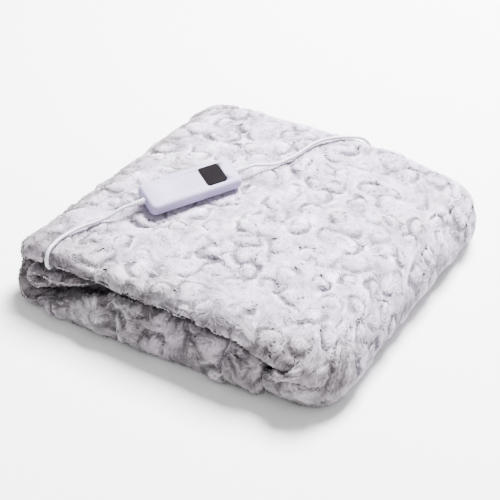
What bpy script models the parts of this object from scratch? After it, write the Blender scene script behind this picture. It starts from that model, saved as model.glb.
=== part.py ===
"""Electric heated blanket, folded into a soft square stack, with its hand controller and leads.

The blanket is one long strip of plush cloth. It starts with a free hem under the stack, runs left
along the surface, turns up round the outer fold, runs back over the top, rolls down over the right
side, climbs onto the bottom layer, and turns once more inside to end between the layers. The front
is the side at -Y: there the bottom layer's hem is gathered up over the inner layers, under the
rolled edge of the top layer. The origin is the bottom centre of the folded stack. Metres, +Z up.
"""
import math
from collections import namedtuple

import bmesh
import bpy
import numpy as np
from mathutils import Matrix, Vector

# ---------------------------------------------------------------- driving dimensions
STACK_Y = 0.470
STACK_Z = 0.086
CLEAR = 0.0003

LEAD_DIAMETER = 0.0042
LEAD_R = LEAD_DIAMETER / 2
ON_TOP = STACK_Z + LEAD_R + 2 * CLEAR
ON_FLOOR = LEAD_R + CLEAR

CONTROLLER_LENGTH = 0.130
CONTROLLER_WIDTH = 0.0455
CONTROLLER_HEIGHT = 0.0175
CONTROLLER_SPLIT = 0.0078
CONTROLLER_CORNER = 0.0075
CASE_FOOT_EDGE = 0.0052
CASE_TOP_EDGE = 0.0050
CASE_SPLIT_EDGE = 0.0004
CROWN_RISE = 0.0010
# The controller lies tilted in the plush, its right long edge lowest: the middle of that edge, the
# turn and the roll of the case, and how deep the edge sinks below the top layer's level.
CONTROLLER_X = -0.0683
CONTROLLER_Y = -0.0290
CONTROLLER_TURN = math.radians(63.5)
CONTROLLER_ROLL = math.radians(18.0)
CONTROLLER_SINK = 0.0040
# The cloth under it is dented and raised to the same slope, and eases back to level on each side.
SEAT_GAP = 0.0012
SEAT_NEAR = 0.030
SEAT_FAR = 0.055
SEAT_ENDS = 0.040

WINDOW_LENGTH = 0.0295
WINDOW_WIDTH = 0.0305
WINDOW_ALONG = 0.0305
WINDOW_CORNER = 0.0045
WINDOW_DEEP = 0.0014
WINDOW_PROUD = 0.0004

RELIEF_LENGTH = 0.020
RELIEF_WIDE_R = 0.0042
RELIEF_NARROW_R = 0.0028
RELIEF_RIBS = 5
RELIEF_GROOVE = 0.0006
RELIEF_AXIS = 0.0090
LEAD_STRAIGHT = 0.008

COIL_X = 0.090
COIL_Y = 0.273
COIL_MEAN_DIAMETER = 11 * LEAD_DIAMETER
COIL_ACROSS = 3
COIL_HIGH = 4
COIL_WIDE = COIL_ACROSS * LEAD_DIAMETER
COIL_TALL = COIL_HIGH * LEAD_DIAMETER
TIE_BAND = 0.006
TIE_THICK = 0.0009
TIE_SLACK = 2 * CLEAR
TIE_TURN = math.radians(150)
COIL_BASE = CLEAR + TIE_THICK + TIE_SLACK

PLUG_BODY = (0.0350, 0.0353, 0.0137)
PLUG_EDGE = 0.0042
PLUG_CORNER = 0.0060
PLUG_X = -0.0075
PLUG_Y = 0.277
PIN_LENGTH = 0.019
PIN_R = 0.0020
PIN_PITCH = 0.019

# ---------------------------------------------------------------- the cloth strip
Run = namedtuple("Run", "name x_from x_to z_from z_to thick_from thick_to columns")
Turn = namedtuple("Turn", "name x z radius_x radius_z start stop thick_from thick_to columns")
HemRow = namedtuple("HemRow", "x inset lift")
Gather = namedtuple("Gather", "x lean width depth")
Trough = namedtuple("Trough", "x_from y_from x_to y_to width depth")
CornerRow = namedtuple("CornerRow", "turned x y z way_x way_y way_z near far")

BOTTOM_Z = 0.0100
THIRD_Z = 0.03175
SECOND_Z = 0.0522
TOP_Z = 0.0755

RIGHT_UPPER = Turn("right fold", 0.150, 0.0310, 0.0645, 0.0345, 90, 0, 0.0195, 0.0185, 9)
RIGHT_LOWER = Turn("right fold", 0.1945, 0.0310, 0.0200, 0.0218, 0, -90, 0.0185, 0.0170, 5)
OUTER_FOLD = Turn("outer fold", -0.179, 0.04275, 0.0350, 0.03275, 270, 90, 0.020, 0.021, 11)
INNER_FOLD = Turn("inner fold", -0.181, 0.0395, 0.0090, 0.0090, 270, 90, 0.016, 0.016, 6)

# The strip's section from hem to hem: x and z are the middle of the cloth, turns are in degrees.
STRIP = (
    Run("bottom layer", 0.1345, -0.179, BOTTOM_Z, BOTTOM_Z, 0.020, 0.020, 32),
    OUTER_FOLD,
    Run("top layer", -0.179, 0.085, TOP_Z, TOP_Z, 0.021, 0.021, 23),
    Run("top layer", 0.085, 0.150, TOP_Z, 0.0655, 0.021, 0.0195, 6),
    RIGHT_UPPER,
    RIGHT_LOWER,
    Run("climb", 0.1945, 0.145, 0.0092, THIRD_Z, 0.017, 0.0175, 6),
    Run("third layer", 0.145, -0.120, THIRD_Z, THIRD_Z, 0.0175, 0.0180, 9),
    Run("third layer", -0.120, -0.181, THIRD_Z, 0.0305, 0.0180, 0.016, 4),
    INNER_FOLD,
    Run("second layer", -0.181, -0.120, 0.0485, SECOND_Z, 0.016, 0.0185, 4),
    Run("second layer", -0.120, 0.095, SECOND_Z, SECOND_Z, 0.0185, 0.0185, 8),
)
CLIMB_END_X = 0.145
FOLD_LEFT_X = OUTER_FOLD.x - OUTER_FOLD.radius_x
FOLD_RIGHT_X = RIGHT_UPPER.x + RIGHT_UPPER.radius_x

# Each layer's hem at the front: how far in it lies, and how far it is curled up from the flat layer,
# or down where the figure is below zero.
FRONT_HEM = {
    "bottom layer": (
        HemRow(-0.179, 0.0105, 0.0000),
        HemRow(-0.160, 0.0030, 0.0110),
        HemRow(-0.120, 0.0000, 0.0290),
        HemRow(-0.085, 0.0000, 0.0420),
        HemRow(-0.045, 0.0035, 0.0500),
        HemRow(0.080, 0.0100, 0.0500),
        HemRow(0.110, 0.0125, 0.0430),
        HemRow(0.1345, 0.0135, 0.0380),
    ),
    "top layer": (
        HemRow(-0.179, 0.0160, -0.0110),
        HemRow(-0.165, 0.0170, -0.0060),
        HemRow(-0.150, 0.0180, -0.0050),
        HemRow(-0.030, 0.0190, -0.0060),
        HemRow(0.080, 0.0190, -0.0060),
        HemRow(0.110, 0.0190, -0.0120),
        HemRow(0.150, 0.0200, -0.0175),
    ),
    "third layer": (
        HemRow(-0.181, 0.020, 0.0),
        HemRow(-0.160, 0.032, 0.0),
        HemRow(-0.130, 0.054, 0.0),
        HemRow(0.100, 0.060, 0.0),
        HemRow(0.145, 0.064, 0.0),
    ),
    "inner fold": (HemRow(-0.19, 0.019, 0.0), HemRow(-0.181, 0.019, 0.0)),
    "second layer": (
        HemRow(-0.181, 0.019, 0.0),
        HemRow(-0.135, 0.019, 0.0),
        HemRow(-0.115, 0.027, 0.0),
        HemRow(-0.100, 0.039, 0.0),
        HemRow(-0.085, 0.047, 0.0),
        HemRow(-0.060, 0.052, 0.0),
        HemRow(0.095, 0.054, 0.0),
    ),
}
# The front of the right fold is drawn round the plan corner to a seam in the front face. Its table
# follows the section from 90 (on top) through 0 (mid side) and -90 (floor) to the climb's end at
# -180: the seam's place, the way the cloth leaves it, and the pull of that end and of the far end.
CORNER_Y = -0.163
FRONT_CORNER = (
    CornerRow(90, 0.150, -0.2055, 0.0480, 0.00, 0.00, 1.00, 0.0150, 0.0300),
    CornerRow(78, 0.159, -0.2060, 0.0470, 0.10, -0.05, 0.99, 0.0160, 0.0300),
    CornerRow(66, 0.164, -0.2070, 0.0460, 0.50, -0.05, 0.85, 0.0190, 0.0290),
    CornerRow(56, 0.157, -0.2080, 0.0447, 0.85, -0.05, 0.52, 0.0300, 0.0280),
    CornerRow(46, 0.148, -0.2090, 0.0435, 0.95, 0.00, 0.32, 0.0430, 0.0280),
    CornerRow(34, 0.141, -0.2095, 0.0405, 0.98, 0.00, 0.18, 0.0530, 0.0280),
    CornerRow(15, 0.138, -0.2100, 0.0350, 1.00, 0.00, 0.06, 0.0580, 0.0280),
    CornerRow(0, 0.1375, -0.2100, 0.0290, 1.00, 0.00, 0.00, 0.0600, 0.0280),
    CornerRow(-30, 0.1375, -0.2075, 0.0190, 1.00, 0.00, 0.00, 0.0580, 0.0250),
    CornerRow(-60, 0.1375, -0.2005, 0.0120, 1.00, 0.00, 0.00, 0.0540, 0.0200),
    CornerRow(-90, 0.1375, -0.1900, 0.0092, 1.00, 0.00, 0.00, 0.0490, 0.0130),
    CornerRow(-110, 0.152, -0.1770, 0.0120, 0.90, 0.40, 0.00, 0.0200, 0.0060),
    CornerRow(-135, 0.164, -0.1700, 0.0205, 0.30, 0.95, 0.00, 0.0020, 0.0020),
    CornerRow(-157, 0.157, -0.1690, 0.0282, 0.00, 1.00, 0.00, 0.0020, 0.0020),
    CornerRow(-180, 0.145, -0.1710, 0.03175, 0.00, 1.00, 0.00, 0.0020, 0.0020),
)
BACK_HEM = {
    "bottom layer": (HemRow(-0.179, 0.004, 0.0), HemRow(0.0, 0.001, 0.0), HemRow(0.157, 0.006, 0.0)),
    "top layer": (HemRow(-0.179, 0.006, -0.012), HemRow(0.0, 0.003, -0.012), HemRow(0.15, 0.003, -0.017)),
    "climb": (HemRow(0.145, 0.030, 0.0), HemRow(0.160, 0.026, 0.0), HemRow(0.1945, 0.006, 0.0240)),
    "third layer": (HemRow(-0.181, 0.008, 0.0), HemRow(0.145, 0.012, 0.0)),
    "inner fold": (HemRow(-0.19, 0.010, 0.0), HemRow(-0.181, 0.010, 0.0)),
    "second layer": (HemRow(-0.181, 0.010, 0.0), HemRow(0.095, 0.006, 0.0)),
}
CURL_RADIUS = {"bottom layer": 0.0125, "top layer": 0.024, "right fold": 0.022, "climb": 0.020}
CORNER_RADIUS = {"left front": 0.027, "left back": 0.056, "right back": 0.050}

# Rows across the strip: distances along the cloth from each hem, and the number between them.
FRONT_ROWS = (0.0, 0.0025, 0.0100, 0.020, 0.031, 0.043, 0.058, 0.078, 0.104)
BACK_ROWS = (0.0, 0.0025, 0.0100, 0.023, 0.040, 0.065)
# Rows of a raised hem follow its bend: steps up to the bend, shares of the bend, and one step on.
WALL_ROWS = (0.0, 0.0025, 0.0100)
BEND_FROM_LEAST = 0.014
BEND_SHARES = (0.0, 0.33, 0.67, 1.0)
AFTER_BEND = 0.022
MIDDLE_ROWS = 9
END_STEPS = (0.0025, 0.0100)

CORNER_STEPS = 24
FULLY_IN = 1.0
BASE_SLOP = 0.0004

# The raised hem leans back above LIP_LEAN_FROM; its gathers and rows come in over LIP_RISE.
LIP_LEAN = 0.28
LIP_LEAN_FROM = 0.012
LIP_RISE = 0.02
# Upright gathers pressed into the bottom layer's raised hem; x is at GATHER_MID_Z, lean tilts them.
GATHER_MID_Z = 0.035
GATHERS = (
    Gather(-0.108, 0.10, 0.010, 0.0030),
    Gather(-0.058, 0.50, 0.008, 0.0110),
    Gather(-0.018, 0.15, 0.009, 0.0045),
    Gather(0.012, -0.10, 0.011, 0.0065),
    Gather(0.042, 0.10, 0.007, 0.0040),
    Gather(0.087, 0.15, 0.012, 0.0080),
)
# Soft hollows pressed into the face of the top layer.
TROUGHS = (
    Trough(0.050, 0.181, 0.112, 0.165, 0.020, 0.0055),
    Trough(0.112, 0.165, 0.195, 0.123, 0.022, 0.0065),
    Trough(-0.020, -0.155, 0.060, -0.120, 0.030, 0.0030),
    Trough(0.100, -0.065, 0.135, 0.025, 0.034, 0.0035),
    Trough(-0.195, 0.075, -0.130, 0.115, 0.030, 0.0030),
    Trough(-0.100, -0.185, -0.060, -0.170, 0.022, 0.0030),
)
# A hem's wavy line fades out at this distance from it.
HEM_WAVE = 0.0012
HEM_WAVE_FADE = 0.12
# The foot of the right side bulges out towards the back: where it starts, and over what length.
BACK_SPREAD = 0.005
SPREAD_X = (0.02, 0.18)
SPREAD_Y = (-0.04, 0.20)
SPREAD_Z = (0.01, 0.05)

# ---------------------------------------------------------------- routes of the leads
# Each lead lies on the top layer, then goes over its edge. Points are the middle of the lead.
CONTROL_ROUTE = (
    (-0.1335, -0.1175, 0.0930),
    (-0.1395, -0.1275, 0.0898),
    (-0.1460, -0.1390, 0.0886),
    (-0.1525, -0.1530, ON_TOP),
    (-0.1570, -0.1700, ON_TOP),
    (-0.1590, -0.1870, ON_TOP),
    (-0.1580, -0.1960, 0.0887),
    (-0.1570, -0.2050, 0.0884),
    (-0.1558, -0.2112, 0.0871),
    (-0.1548, -0.2157, 0.0836),
    (-0.1540, -0.2183, 0.0784),
    (-0.1540, -0.2186, 0.0724),
    (-0.1547, -0.2162, 0.0669),
    (-0.1560, -0.2118, 0.0630),
    (-0.1585, -0.2056, 0.0611),
    (-0.1620, -0.1970, 0.0608),
    (-0.1655, -0.1840, 0.0608),
    (-0.1675, -0.1680, 0.0609),
    (-0.1680, -0.1480, 0.0609),
    (-0.1670, -0.1250, 0.0609),
)
MAINS_ROUTE = (
    (-0.0335, 0.0790, 0.0930),
    (-0.0290, 0.0890, 0.0898),
    (-0.0240, 0.1010, 0.0886),
    (-0.0195, 0.1150, ON_TOP),
    (-0.0160, 0.1300, ON_TOP),
    (-0.0140, 0.1480, ON_TOP),
    (-0.0110, 0.1670, ON_TOP),
    (-0.0035, 0.1840, ON_TOP),
    (0.0085, 0.1970, 0.0887),
    (0.0215, 0.2080, 0.0880),
    (0.0313, 0.2182, 0.0852),
    (0.0385, 0.2253, 0.0801),
    (0.0430, 0.2281, 0.0727),
    (0.0465, 0.2297, 0.0660),
    (0.0490, 0.2310, 0.0570),
    (0.0505, 0.2325, 0.0460),
    (0.0520, 0.2342, 0.0350),
    (0.0545, 0.2360, 0.0240),
    (0.0590, 0.2380, 0.0135),
    (0.0655, 0.2396, 0.0060),
    (0.0735, 0.2407, 0.0028),
    (0.0810, 0.2411, ON_FLOOR),
    (0.0880, 0.2411, ON_FLOOR),
)
PLUG_ROUTE = (
    (0.0880, 0.3049, ON_FLOOR),
    (0.0800, 0.3046, ON_FLOOR),
    (0.0715, 0.3022, 0.0027),
    (0.0640, 0.2975, 0.0035),
    (0.0575, 0.2910, 0.0048),
    (0.0510, 0.2845, 0.0060),
    (0.0445, 0.2795, 0.0067),
)

WHITE_PLASTIC = (0.86, 0.86, 0.90)
LEAD_WHITE = (0.84, 0.84, 0.87)
PLUSH = (0.78, 0.77, 0.79)


# ---------------------------------------------------------------- general helpers
def smoothstep(t):
    """Ease from 0 to 1 with a level start and end."""
    t = np.clip(t, 0.0, 1.0)
    return t * t * (3.0 - 2.0 * t)


def finish(name, mesh, colour, roughness, metallic=0.0):
    """Link an object that has its own material."""
    obj = bpy.data.objects.new(name, mesh)
    bpy.context.scene.collection.objects.link(obj)
    material = bpy.data.materials.new(name)
    material.use_nodes = True
    shader = material.node_tree.nodes["Principled BSDF"]
    shader.inputs["Base Color"].default_value = (*colour, 1.0)
    shader.inputs["Roughness"].default_value = roughness
    shader.inputs["Metallic"].default_value = metallic
    obj.data.materials.append(material)
    return obj


def mesh_from(name, verts, faces, sharp_degrees=40):
    """A closed mesh from points and faces, with its normals turned out, shaded smooth."""
    mesh = bpy.data.meshes.new(name)
    mesh.from_pydata([tuple(v) for v in verts], [], faces)
    bm = bmesh.new()
    bm.from_mesh(mesh)
    bmesh.ops.recalc_face_normals(bm, faces=bm.faces[:])
    bm.to_mesh(mesh)
    bm.free()
    mesh.shade_smooth()
    mesh.set_sharp_from_angle(angle=math.radians(sharp_degrees))
    return mesh


def loft(name, rings):
    """Join rings of points, each as long as the next, and close both ends."""
    count = len(rings[0])
    verts = [point for ring in rings for point in ring]
    faces = [list(range(count))[::-1], list(range((len(rings) - 1) * count, len(rings) * count))]
    for level in range(len(rings) - 1):
        for k in range(count):
            a, b = level * count + k, level * count + (k + 1) % count
            faces.append([a, b, b + count, a + count])
    return mesh_from(name, verts, faces)


def rounded_ring(length, width, corner, z, steps=5):
    """A level ring of points round a rectangle with round corners."""
    ring = []
    for quarter in range(4):
        sign_x = 1 if quarter in (0, 3) else -1
        sign_y = 1 if quarter in (0, 1) else -1
        for k in range(steps + 1):
            angle = math.radians(90 * quarter + 90 * k / steps)
            x = sign_x * (length / 2 - corner) + corner * math.cos(angle)
            y = sign_y * (width / 2 - corner) + corner * math.sin(angle)
            ring.append((x, y, z))
    return ring


def stacked(name, length, width, corner, profile):
    """A solid of rounded rectangles; profile gives each one's inset from the full size, and its z."""
    rings = [
        rounded_ring(length - 2 * inset, width - 2 * inset, max(corner - inset * 0.6, 0.0006), z)
        for inset, z in profile
    ]
    return loft(name, rings)


def turned(name, profile, sides=20):
    """A solid turned about X; profile gives x and the radius there."""
    rings = []
    for x, radius in profile:
        angles = [2 * math.pi * k / sides for k in range(sides)]
        rings.append([(x, radius * math.cos(a), radius * math.sin(a)) for a in angles])
    return loft(name, rings)


def edge_profile(low, high, edge_low, edge_high, steps=4):
    """Insets and heights of a box whose lower and upper edges are rounded."""
    rows = []
    for k in range(steps + 1):
        angle = math.pi / 2 * k / steps
        rows.append((edge_low * (1 - math.sin(angle)), low + edge_low * (1 - math.cos(angle))))
    for k in range(steps + 1):
        angle = math.pi / 2 * k / steps
        rows.append((edge_high * (1 - math.cos(angle)), high - edge_high * (1 - math.sin(angle))))
    return rows


# ---------------------------------------------------------------- the blanket
def run_steps(piece, round_start, round_end):
    """Places along a straight run, from 0 to 1, with extra ones where it ends in a round hem."""
    length = abs(piece.x_to - piece.x_from)
    first = [0.0] + [d / length for d in END_STEPS] if round_start else [0.0]
    last = [1.0 - d / length for d in reversed(END_STEPS)] + [1.0] if round_end else [1.0]
    count = piece.columns
    middle = [first[-1] + (last[0] - first[-1]) * k / count for k in range(1, count)]
    return first + middle + last


def strip_columns():
    """Walk the strip's section: x, z and half thickness of the cloth, and the layer's name."""
    columns = []
    for number, piece in enumerate(STRIP):
        last = number == len(STRIP) - 1
        if isinstance(piece, Run):
            steps = run_steps(piece, number == 0, last)
        else:
            steps = [k / piece.columns for k in range(piece.columns + 1)]
        for t in steps if last else steps[:-1]:
            if isinstance(piece, Run):
                x = piece.x_from + (piece.x_to - piece.x_from) * t
                z = piece.z_from + (piece.z_to - piece.z_from) * float(smoothstep(t))
            else:
                angle = math.radians(piece.start + (piece.stop - piece.start) * t)
                x = piece.x + piece.radius_x * math.cos(angle)
                z = piece.z + piece.radius_z * math.sin(angle)
            half = (piece.thick_from + (piece.thick_to - piece.thick_from) * t) / 2
            columns.append((piece.name, x, z, half))
    return columns


def corner_inset(x, side):
    """How far the plan corners' rounding draws the hem in at this x."""
    inset = 0.0
    for end, edge in (("left", FOLD_LEFT_X), ("right", FOLD_RIGHT_X)):
        radius = CORNER_RADIUS.get(end + " " + side, 0.0)
        reach = radius - abs(x - edge)
        if reach > 0.0:
            inset += radius - math.sqrt(radius * radius - reach * reach)
    return inset


def read_row(rows, x):
    """Inset and lift from a hem's table at this x."""
    rows = sorted(rows)
    places = [row.x for row in rows]
    inset = np.interp(x, places, [row.inset for row in rows])
    lift = np.interp(x, places, [row.lift for row in rows])
    return float(inset), float(lift)


def turned_at(name, x, z):
    """How far the section has turned at a place on the right fold or its climb, in degrees."""
    if name == "climb":
        return -90.0 - 90.0 * (RIGHT_LOWER.x - x) / (RIGHT_LOWER.x - CLIMB_END_X)
    turn = RIGHT_UPPER if z >= RIGHT_UPPER.z else RIGHT_LOWER
    return math.degrees(math.atan2((z - turn.z) / turn.radius_z, (x - turn.x) / turn.radius_x))


def corner_path(name, x, z):
    """Distances and points from the seam round the plan corner to the right fold's straight part."""
    turned_to = turned_at(name, x, z)
    rows = sorted(FRONT_CORNER)
    angles = [row.turned for row in rows]
    x0, y0, z0, wx, wy, wz, near, far = (
        float(np.interp(turned_to, angles, [row[k] for row in rows])) for k in range(1, 9)
    )
    seam = Vector((x0, y0, z0))
    end = Vector((x, CORNER_Y, z))
    pull_near = seam + Vector((wx, wy, wz)).normalized() * near
    pull_far = end - Vector((0.0, far, 0.0))
    points = []
    for k in range(CORNER_STEPS + 1):
        t = k / CORNER_STEPS
        near_side = seam * (1 - t) ** 3 + pull_near * 3 * t * (1 - t) ** 2
        points.append(near_side + pull_far * 3 * t**2 * (1 - t) + end * t**3)
    distances = [0.0]
    for a, b in zip(points, points[1:]):
        distances.append(distances[-1] + (b - a).length)
    return distances, points


def hem_at(table, side, name, x, z):
    """Inset and curl of the hem of one column of the strip."""
    if name == "right fold":
        upper = read_row(table["top layer"], RIGHT_UPPER.x)
        lower = read_row(table["climb"], RIGHT_LOWER.x)
        if z > RIGHT_UPPER.z:
            share = (z - RIGHT_UPPER.z) / RIGHT_UPPER.radius_z
            inset, lift = upper[0], upper[1] * share
        else:
            share = (RIGHT_LOWER.z - z) / RIGHT_LOWER.radius_z
            inset, lift = upper[0] + (lower[0] - upper[0]) * share, lower[1] * share
    elif name == "outer fold":
        low = read_row(table["bottom layer"], OUTER_FOLD.x)
        high = read_row(table["top layer"], OUTER_FOLD.x)
        share = (z - OUTER_FOLD.z + OUTER_FOLD.radius_z) / (2 * OUTER_FOLD.radius_z)
        inset = low[0] + (high[0] - low[0]) * share
        lift = high[1] * max(0.0, 2 * share - 1)
    else:
        inset, lift = read_row(table[name], x)
    return inset + corner_inset(x, side), lift


def curl(distance, lift, radius, half):
    """How far in from its hem's line, and how far raised, the cloth is at a distance along it."""
    height = abs(lift)
    angle = math.acos(1.0 - height / radius) if height < radius else math.pi / 2
    rise = max(0.0, height - radius)
    start = (half + radius) * math.sin(angle)
    left = radius * angle + rise - distance
    if left <= 0.0:
        return start - left, 0.0
    bend = min(left / radius, angle)
    raised = radius * (1.0 - math.cos(bend)) + max(0.0, left - radius * angle)
    return start - radius * math.sin(bend), math.copysign(raised, lift)


def front_rows(lift, radius):
    """Row distances from the front hem, drawn towards the bend where the hem is raised."""
    share = float(smoothstep(lift / LIP_RISE))
    if share == 0.0:
        return list(FRONT_ROWS)
    height = max(lift, 0.0)
    arc = radius * math.acos(max(0.0, 1.0 - height / radius))
    bend_from = max(height - radius, BEND_FROM_LEAST)
    raised = list(WALL_ROWS) + [(WALL_ROWS[-1] + bend_from) / 2]
    raised += [bend_from + arc * part for part in BEND_SHARES]
    raised.append(raised[-1] + AFTER_BEND)
    return [low + (high - low) * share for low, high in zip(FRONT_ROWS, raised)]


def gather_depth(x, z):
    """How far the gathers push the raised hem in at a place on it."""
    depth = 0.0
    for fold in GATHERS:
        middle = fold.x - fold.lean * (z - GATHER_MID_Z)
        depth += fold.depth * math.exp(-(((x - middle) / fold.width) ** 2))
    return depth


def trough_depth(x, y):
    """Depth of the soft hollows in the top face."""
    depth = 0.0
    for hollow in TROUGHS:
        run_x, run_y = hollow.x_to - hollow.x_from, hollow.y_to - hollow.y_from
        along = ((x - hollow.x_from) * run_x + (y - hollow.y_from) * run_y) / (run_x**2 + run_y**2)
        along = min(max(along, 0.0), 1.0)
        away = math.hypot(x - hollow.x_from - along * run_x, y - hollow.y_from - along * run_y)
        depth = max(depth, hollow.depth * math.exp(-((away / hollow.width) ** 2)))
    return depth


def seat_lift(x, y):
    """How far the top face is dented, or raised, to the slope of the controller that lies on it."""
    away_x, away_y = x - CONTROLLER_X, y - CONTROLLER_Y
    cos, sin = math.cos(CONTROLLER_TURN), math.sin(CONTROLLER_TURN)
    along, across = away_x * cos + away_y * sin, away_y * cos - away_x * sin
    wide = CONTROLLER_WIDTH * math.cos(CONTROLLER_ROLL)
    slope = min(max(across, 0.0), wide) * math.tan(CONTROLLER_ROLL) - CONTROLLER_SINK - SEAT_GAP
    past_near = smoothstep(-across / SEAT_NEAR)
    past_far = smoothstep((across - wide) / SEAT_FAR)
    past_end = smoothstep((abs(along) - CONTROLLER_LENGTH / 2) / SEAT_ENDS)
    return slope * float((1.0 - past_near) * (1.0 - past_far) * (1.0 - past_end))


def hem_wave(x):
    """Uneven line of a hem along X."""
    return HEM_WAVE * (math.sin(61.0 * x + 0.4) + 0.7 * math.sin(143.0 * x + 1.1))


def spread(x, y, z):
    """How far the foot of the right side bulges out towards the back."""
    share_x = smoothstep((x - SPREAD_X[0]) / SPREAD_X[1])
    share_y = smoothstep((y - SPREAD_Y[0]) / SPREAD_Y[1])
    share_z = 1.0 - smoothstep((z - SPREAD_Z[0]) / SPREAD_Z[1])
    return BACK_SPREAD * float(share_x * share_y * share_z)


def cloth_middle():
    """Points of the middle of the cloth, columns by rows, and the half thickness at each."""
    columns = strip_columns()
    rows = len(FRONT_ROWS) + MIDDLE_ROWS + len(BACK_ROWS)
    points = np.zeros((len(columns), rows, 3))
    half_at = np.zeros((len(columns), rows))
    steps = [math.dist(a[1:3], b[1:3]) for a, b in zip(columns, columns[1:])]
    walked = np.concatenate([[0.0], np.cumsum(steps)])
    for i, (name, x, z, half) in enumerate(columns):
        radius = CURL_RADIUS.get(name, 0.020)
        drawn = name in ("right fold", "climb")
        lift_f = 0.0
        inset_b, lift_b = hem_at(BACK_HEM, "back", name, x, z)
        spare_b = FULLY_IN - curl(FULLY_IN, lift_b, radius, half)[0]
        if drawn:
            along, corner = corner_path(name, x, z)
            span = along[-1] + STACK_Y / 2 - inset_b + spare_b - CORNER_Y
        else:
            inset_f, lift_f = hem_at(FRONT_HEM, "front", name, x, z)
            spare_f = FULLY_IN - curl(FULLY_IN, lift_f, radius, half)[0]
            span = STACK_Y - inset_f - inset_b + spare_f + spare_b
        front = front_rows(lift_f if name == "bottom layer" else 0.0, radius)
        first, final = front[-1], span - BACK_ROWS[-1]
        middle = [first + (final - first) * k / (MIDDLE_ROWS + 1) for k in range(1, MIDDLE_ROWS + 1)]
        distances = front + middle + [span - d for d in reversed(BACK_ROWS)]
        from_end = min(walked[i], walked[-1] - walked[i])
        for j, ahead in enumerate(distances):
            behind = span - ahead
            in_b, up_b = curl(behind, lift_b, radius, half)
            if behind <= ahead or drawn and ahead >= along[-1]:
                place = (x, STACK_Y / 2 - inset_b - in_b, z + up_b)
            elif drawn:
                place = [np.interp(ahead, along, [point[k] for point in corner]) for k in range(3)]
            else:
                in_f, up_f = curl(ahead, lift_f, radius, half)
                near_front = 1.0 - float(smoothstep(ahead / HEM_WAVE_FADE))
                y = -STACK_Y / 2 + inset_f + in_f + hem_wave(x) * near_front
                if name == "bottom layer" and up_f > 0.0:
                    y += gather_depth(x, z + up_f) * float(smoothstep(up_f / LIP_RISE))
                    y += LIP_LEAN * max(0.0, up_f - LIP_LEAN_FROM)
                place = (x, y, z + up_f)
            edge = min(ahead, behind, from_end)
            points[i, j] = (place[0] + spread(*place), place[1], place[2])
            half_at[i, j] = half * math.sqrt(max(0.0, 1.0 - (1.0 - min(edge / half, 1.0)) ** 2))
    return points, half_at, [column[0] for column in columns]


def blanket():
    """The folded strip of plush cloth as one closed solid."""
    middle, half_at, names = cloth_middle()
    normal = np.cross(np.gradient(middle, axis=0), np.gradient(middle, axis=1))
    normal /= np.linalg.norm(normal, axis=2, keepdims=True)
    outer = middle + normal * half_at[:, :, None]
    inner = middle - normal * half_at[:, :, None]
    columns, rows = half_at.shape
    for i in range(columns):
        for j in range(rows):
            if names[i] in ("top layer", "right fold"):
                x, y = outer[i, j, :2]
                facing_up = max(float(normal[i, j, 2]), 0.0)
                outer[i, j, 2] += (seat_lift(x, y) - trough_depth(x, y)) * facing_up
    verts, index = [], {}
    for side, grid in (("outer", outer), ("inner", inner)):
        for i in range(columns):
            for j in range(rows):
                border = i in (0, columns - 1) or j in (0, rows - 1)
                if border and side == "inner":
                    index[side, i, j] = index["outer", i, j]
                    continue
                index[side, i, j] = len(verts)
                verts.append(grid[i, j])
    faces = []
    for i in range(columns - 1):
        for j in range(rows - 1):
            around = ((i, j), (i + 1, j), (i + 1, j + 1), (i, j + 1))
            faces.append([index["outer", a, b] for a, b in around])
            faces.append([index["inner", a, b] for a, b in reversed(around)])
    mesh = mesh_from("blanket", verts, faces)
    flatten_base(mesh)
    return finish("blanket", mesh, PLUSH, 0.95)


def flatten_base(mesh):
    """Set the face that the stack rests on exactly level, and make it one plain face."""
    bm = bmesh.new()
    bm.from_mesh(mesh)
    for vert in bm.verts:
        if abs(vert.co.z) < BASE_SLOP:
            vert.co.z = 0.0
    level = [face for face in bm.faces if all(vert.co.z == 0.0 for vert in face.verts)]
    bmesh.ops.dissolve_faces(bm, faces=level, use_verts=False)
    bm.to_mesh(mesh)
    bm.free()


# ---------------------------------------------------------------- the controller
def controller_place():
    """Matrix that sets the controller's own frame down on the top layer."""
    low_edge = Matrix.Translation((CONTROLLER_X, CONTROLLER_Y, STACK_Z - CONTROLLER_SINK))
    tilt = Matrix.Rotation(CONTROLLER_TURN, 4, "Z") @ Matrix.Rotation(CONTROLLER_ROLL, 4, "X")
    return low_edge @ tilt @ Matrix.Translation((0.0, CONTROLLER_WIDTH / 2, 0.0))


def base_shell():
    """Lower half of the controller's case, with a well rounded underside."""
    profile = edge_profile(0.0, CONTROLLER_SPLIT, CASE_FOOT_EDGE, CASE_SPLIT_EDGE)
    mesh = stacked("controller_base", CONTROLLER_LENGTH, CONTROLLER_WIDTH, CONTROLLER_CORNER, profile)
    obj = finish("controller_base", mesh, WHITE_PLASTIC, 0.35)
    obj.matrix_world = controller_place()
    return obj


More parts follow.
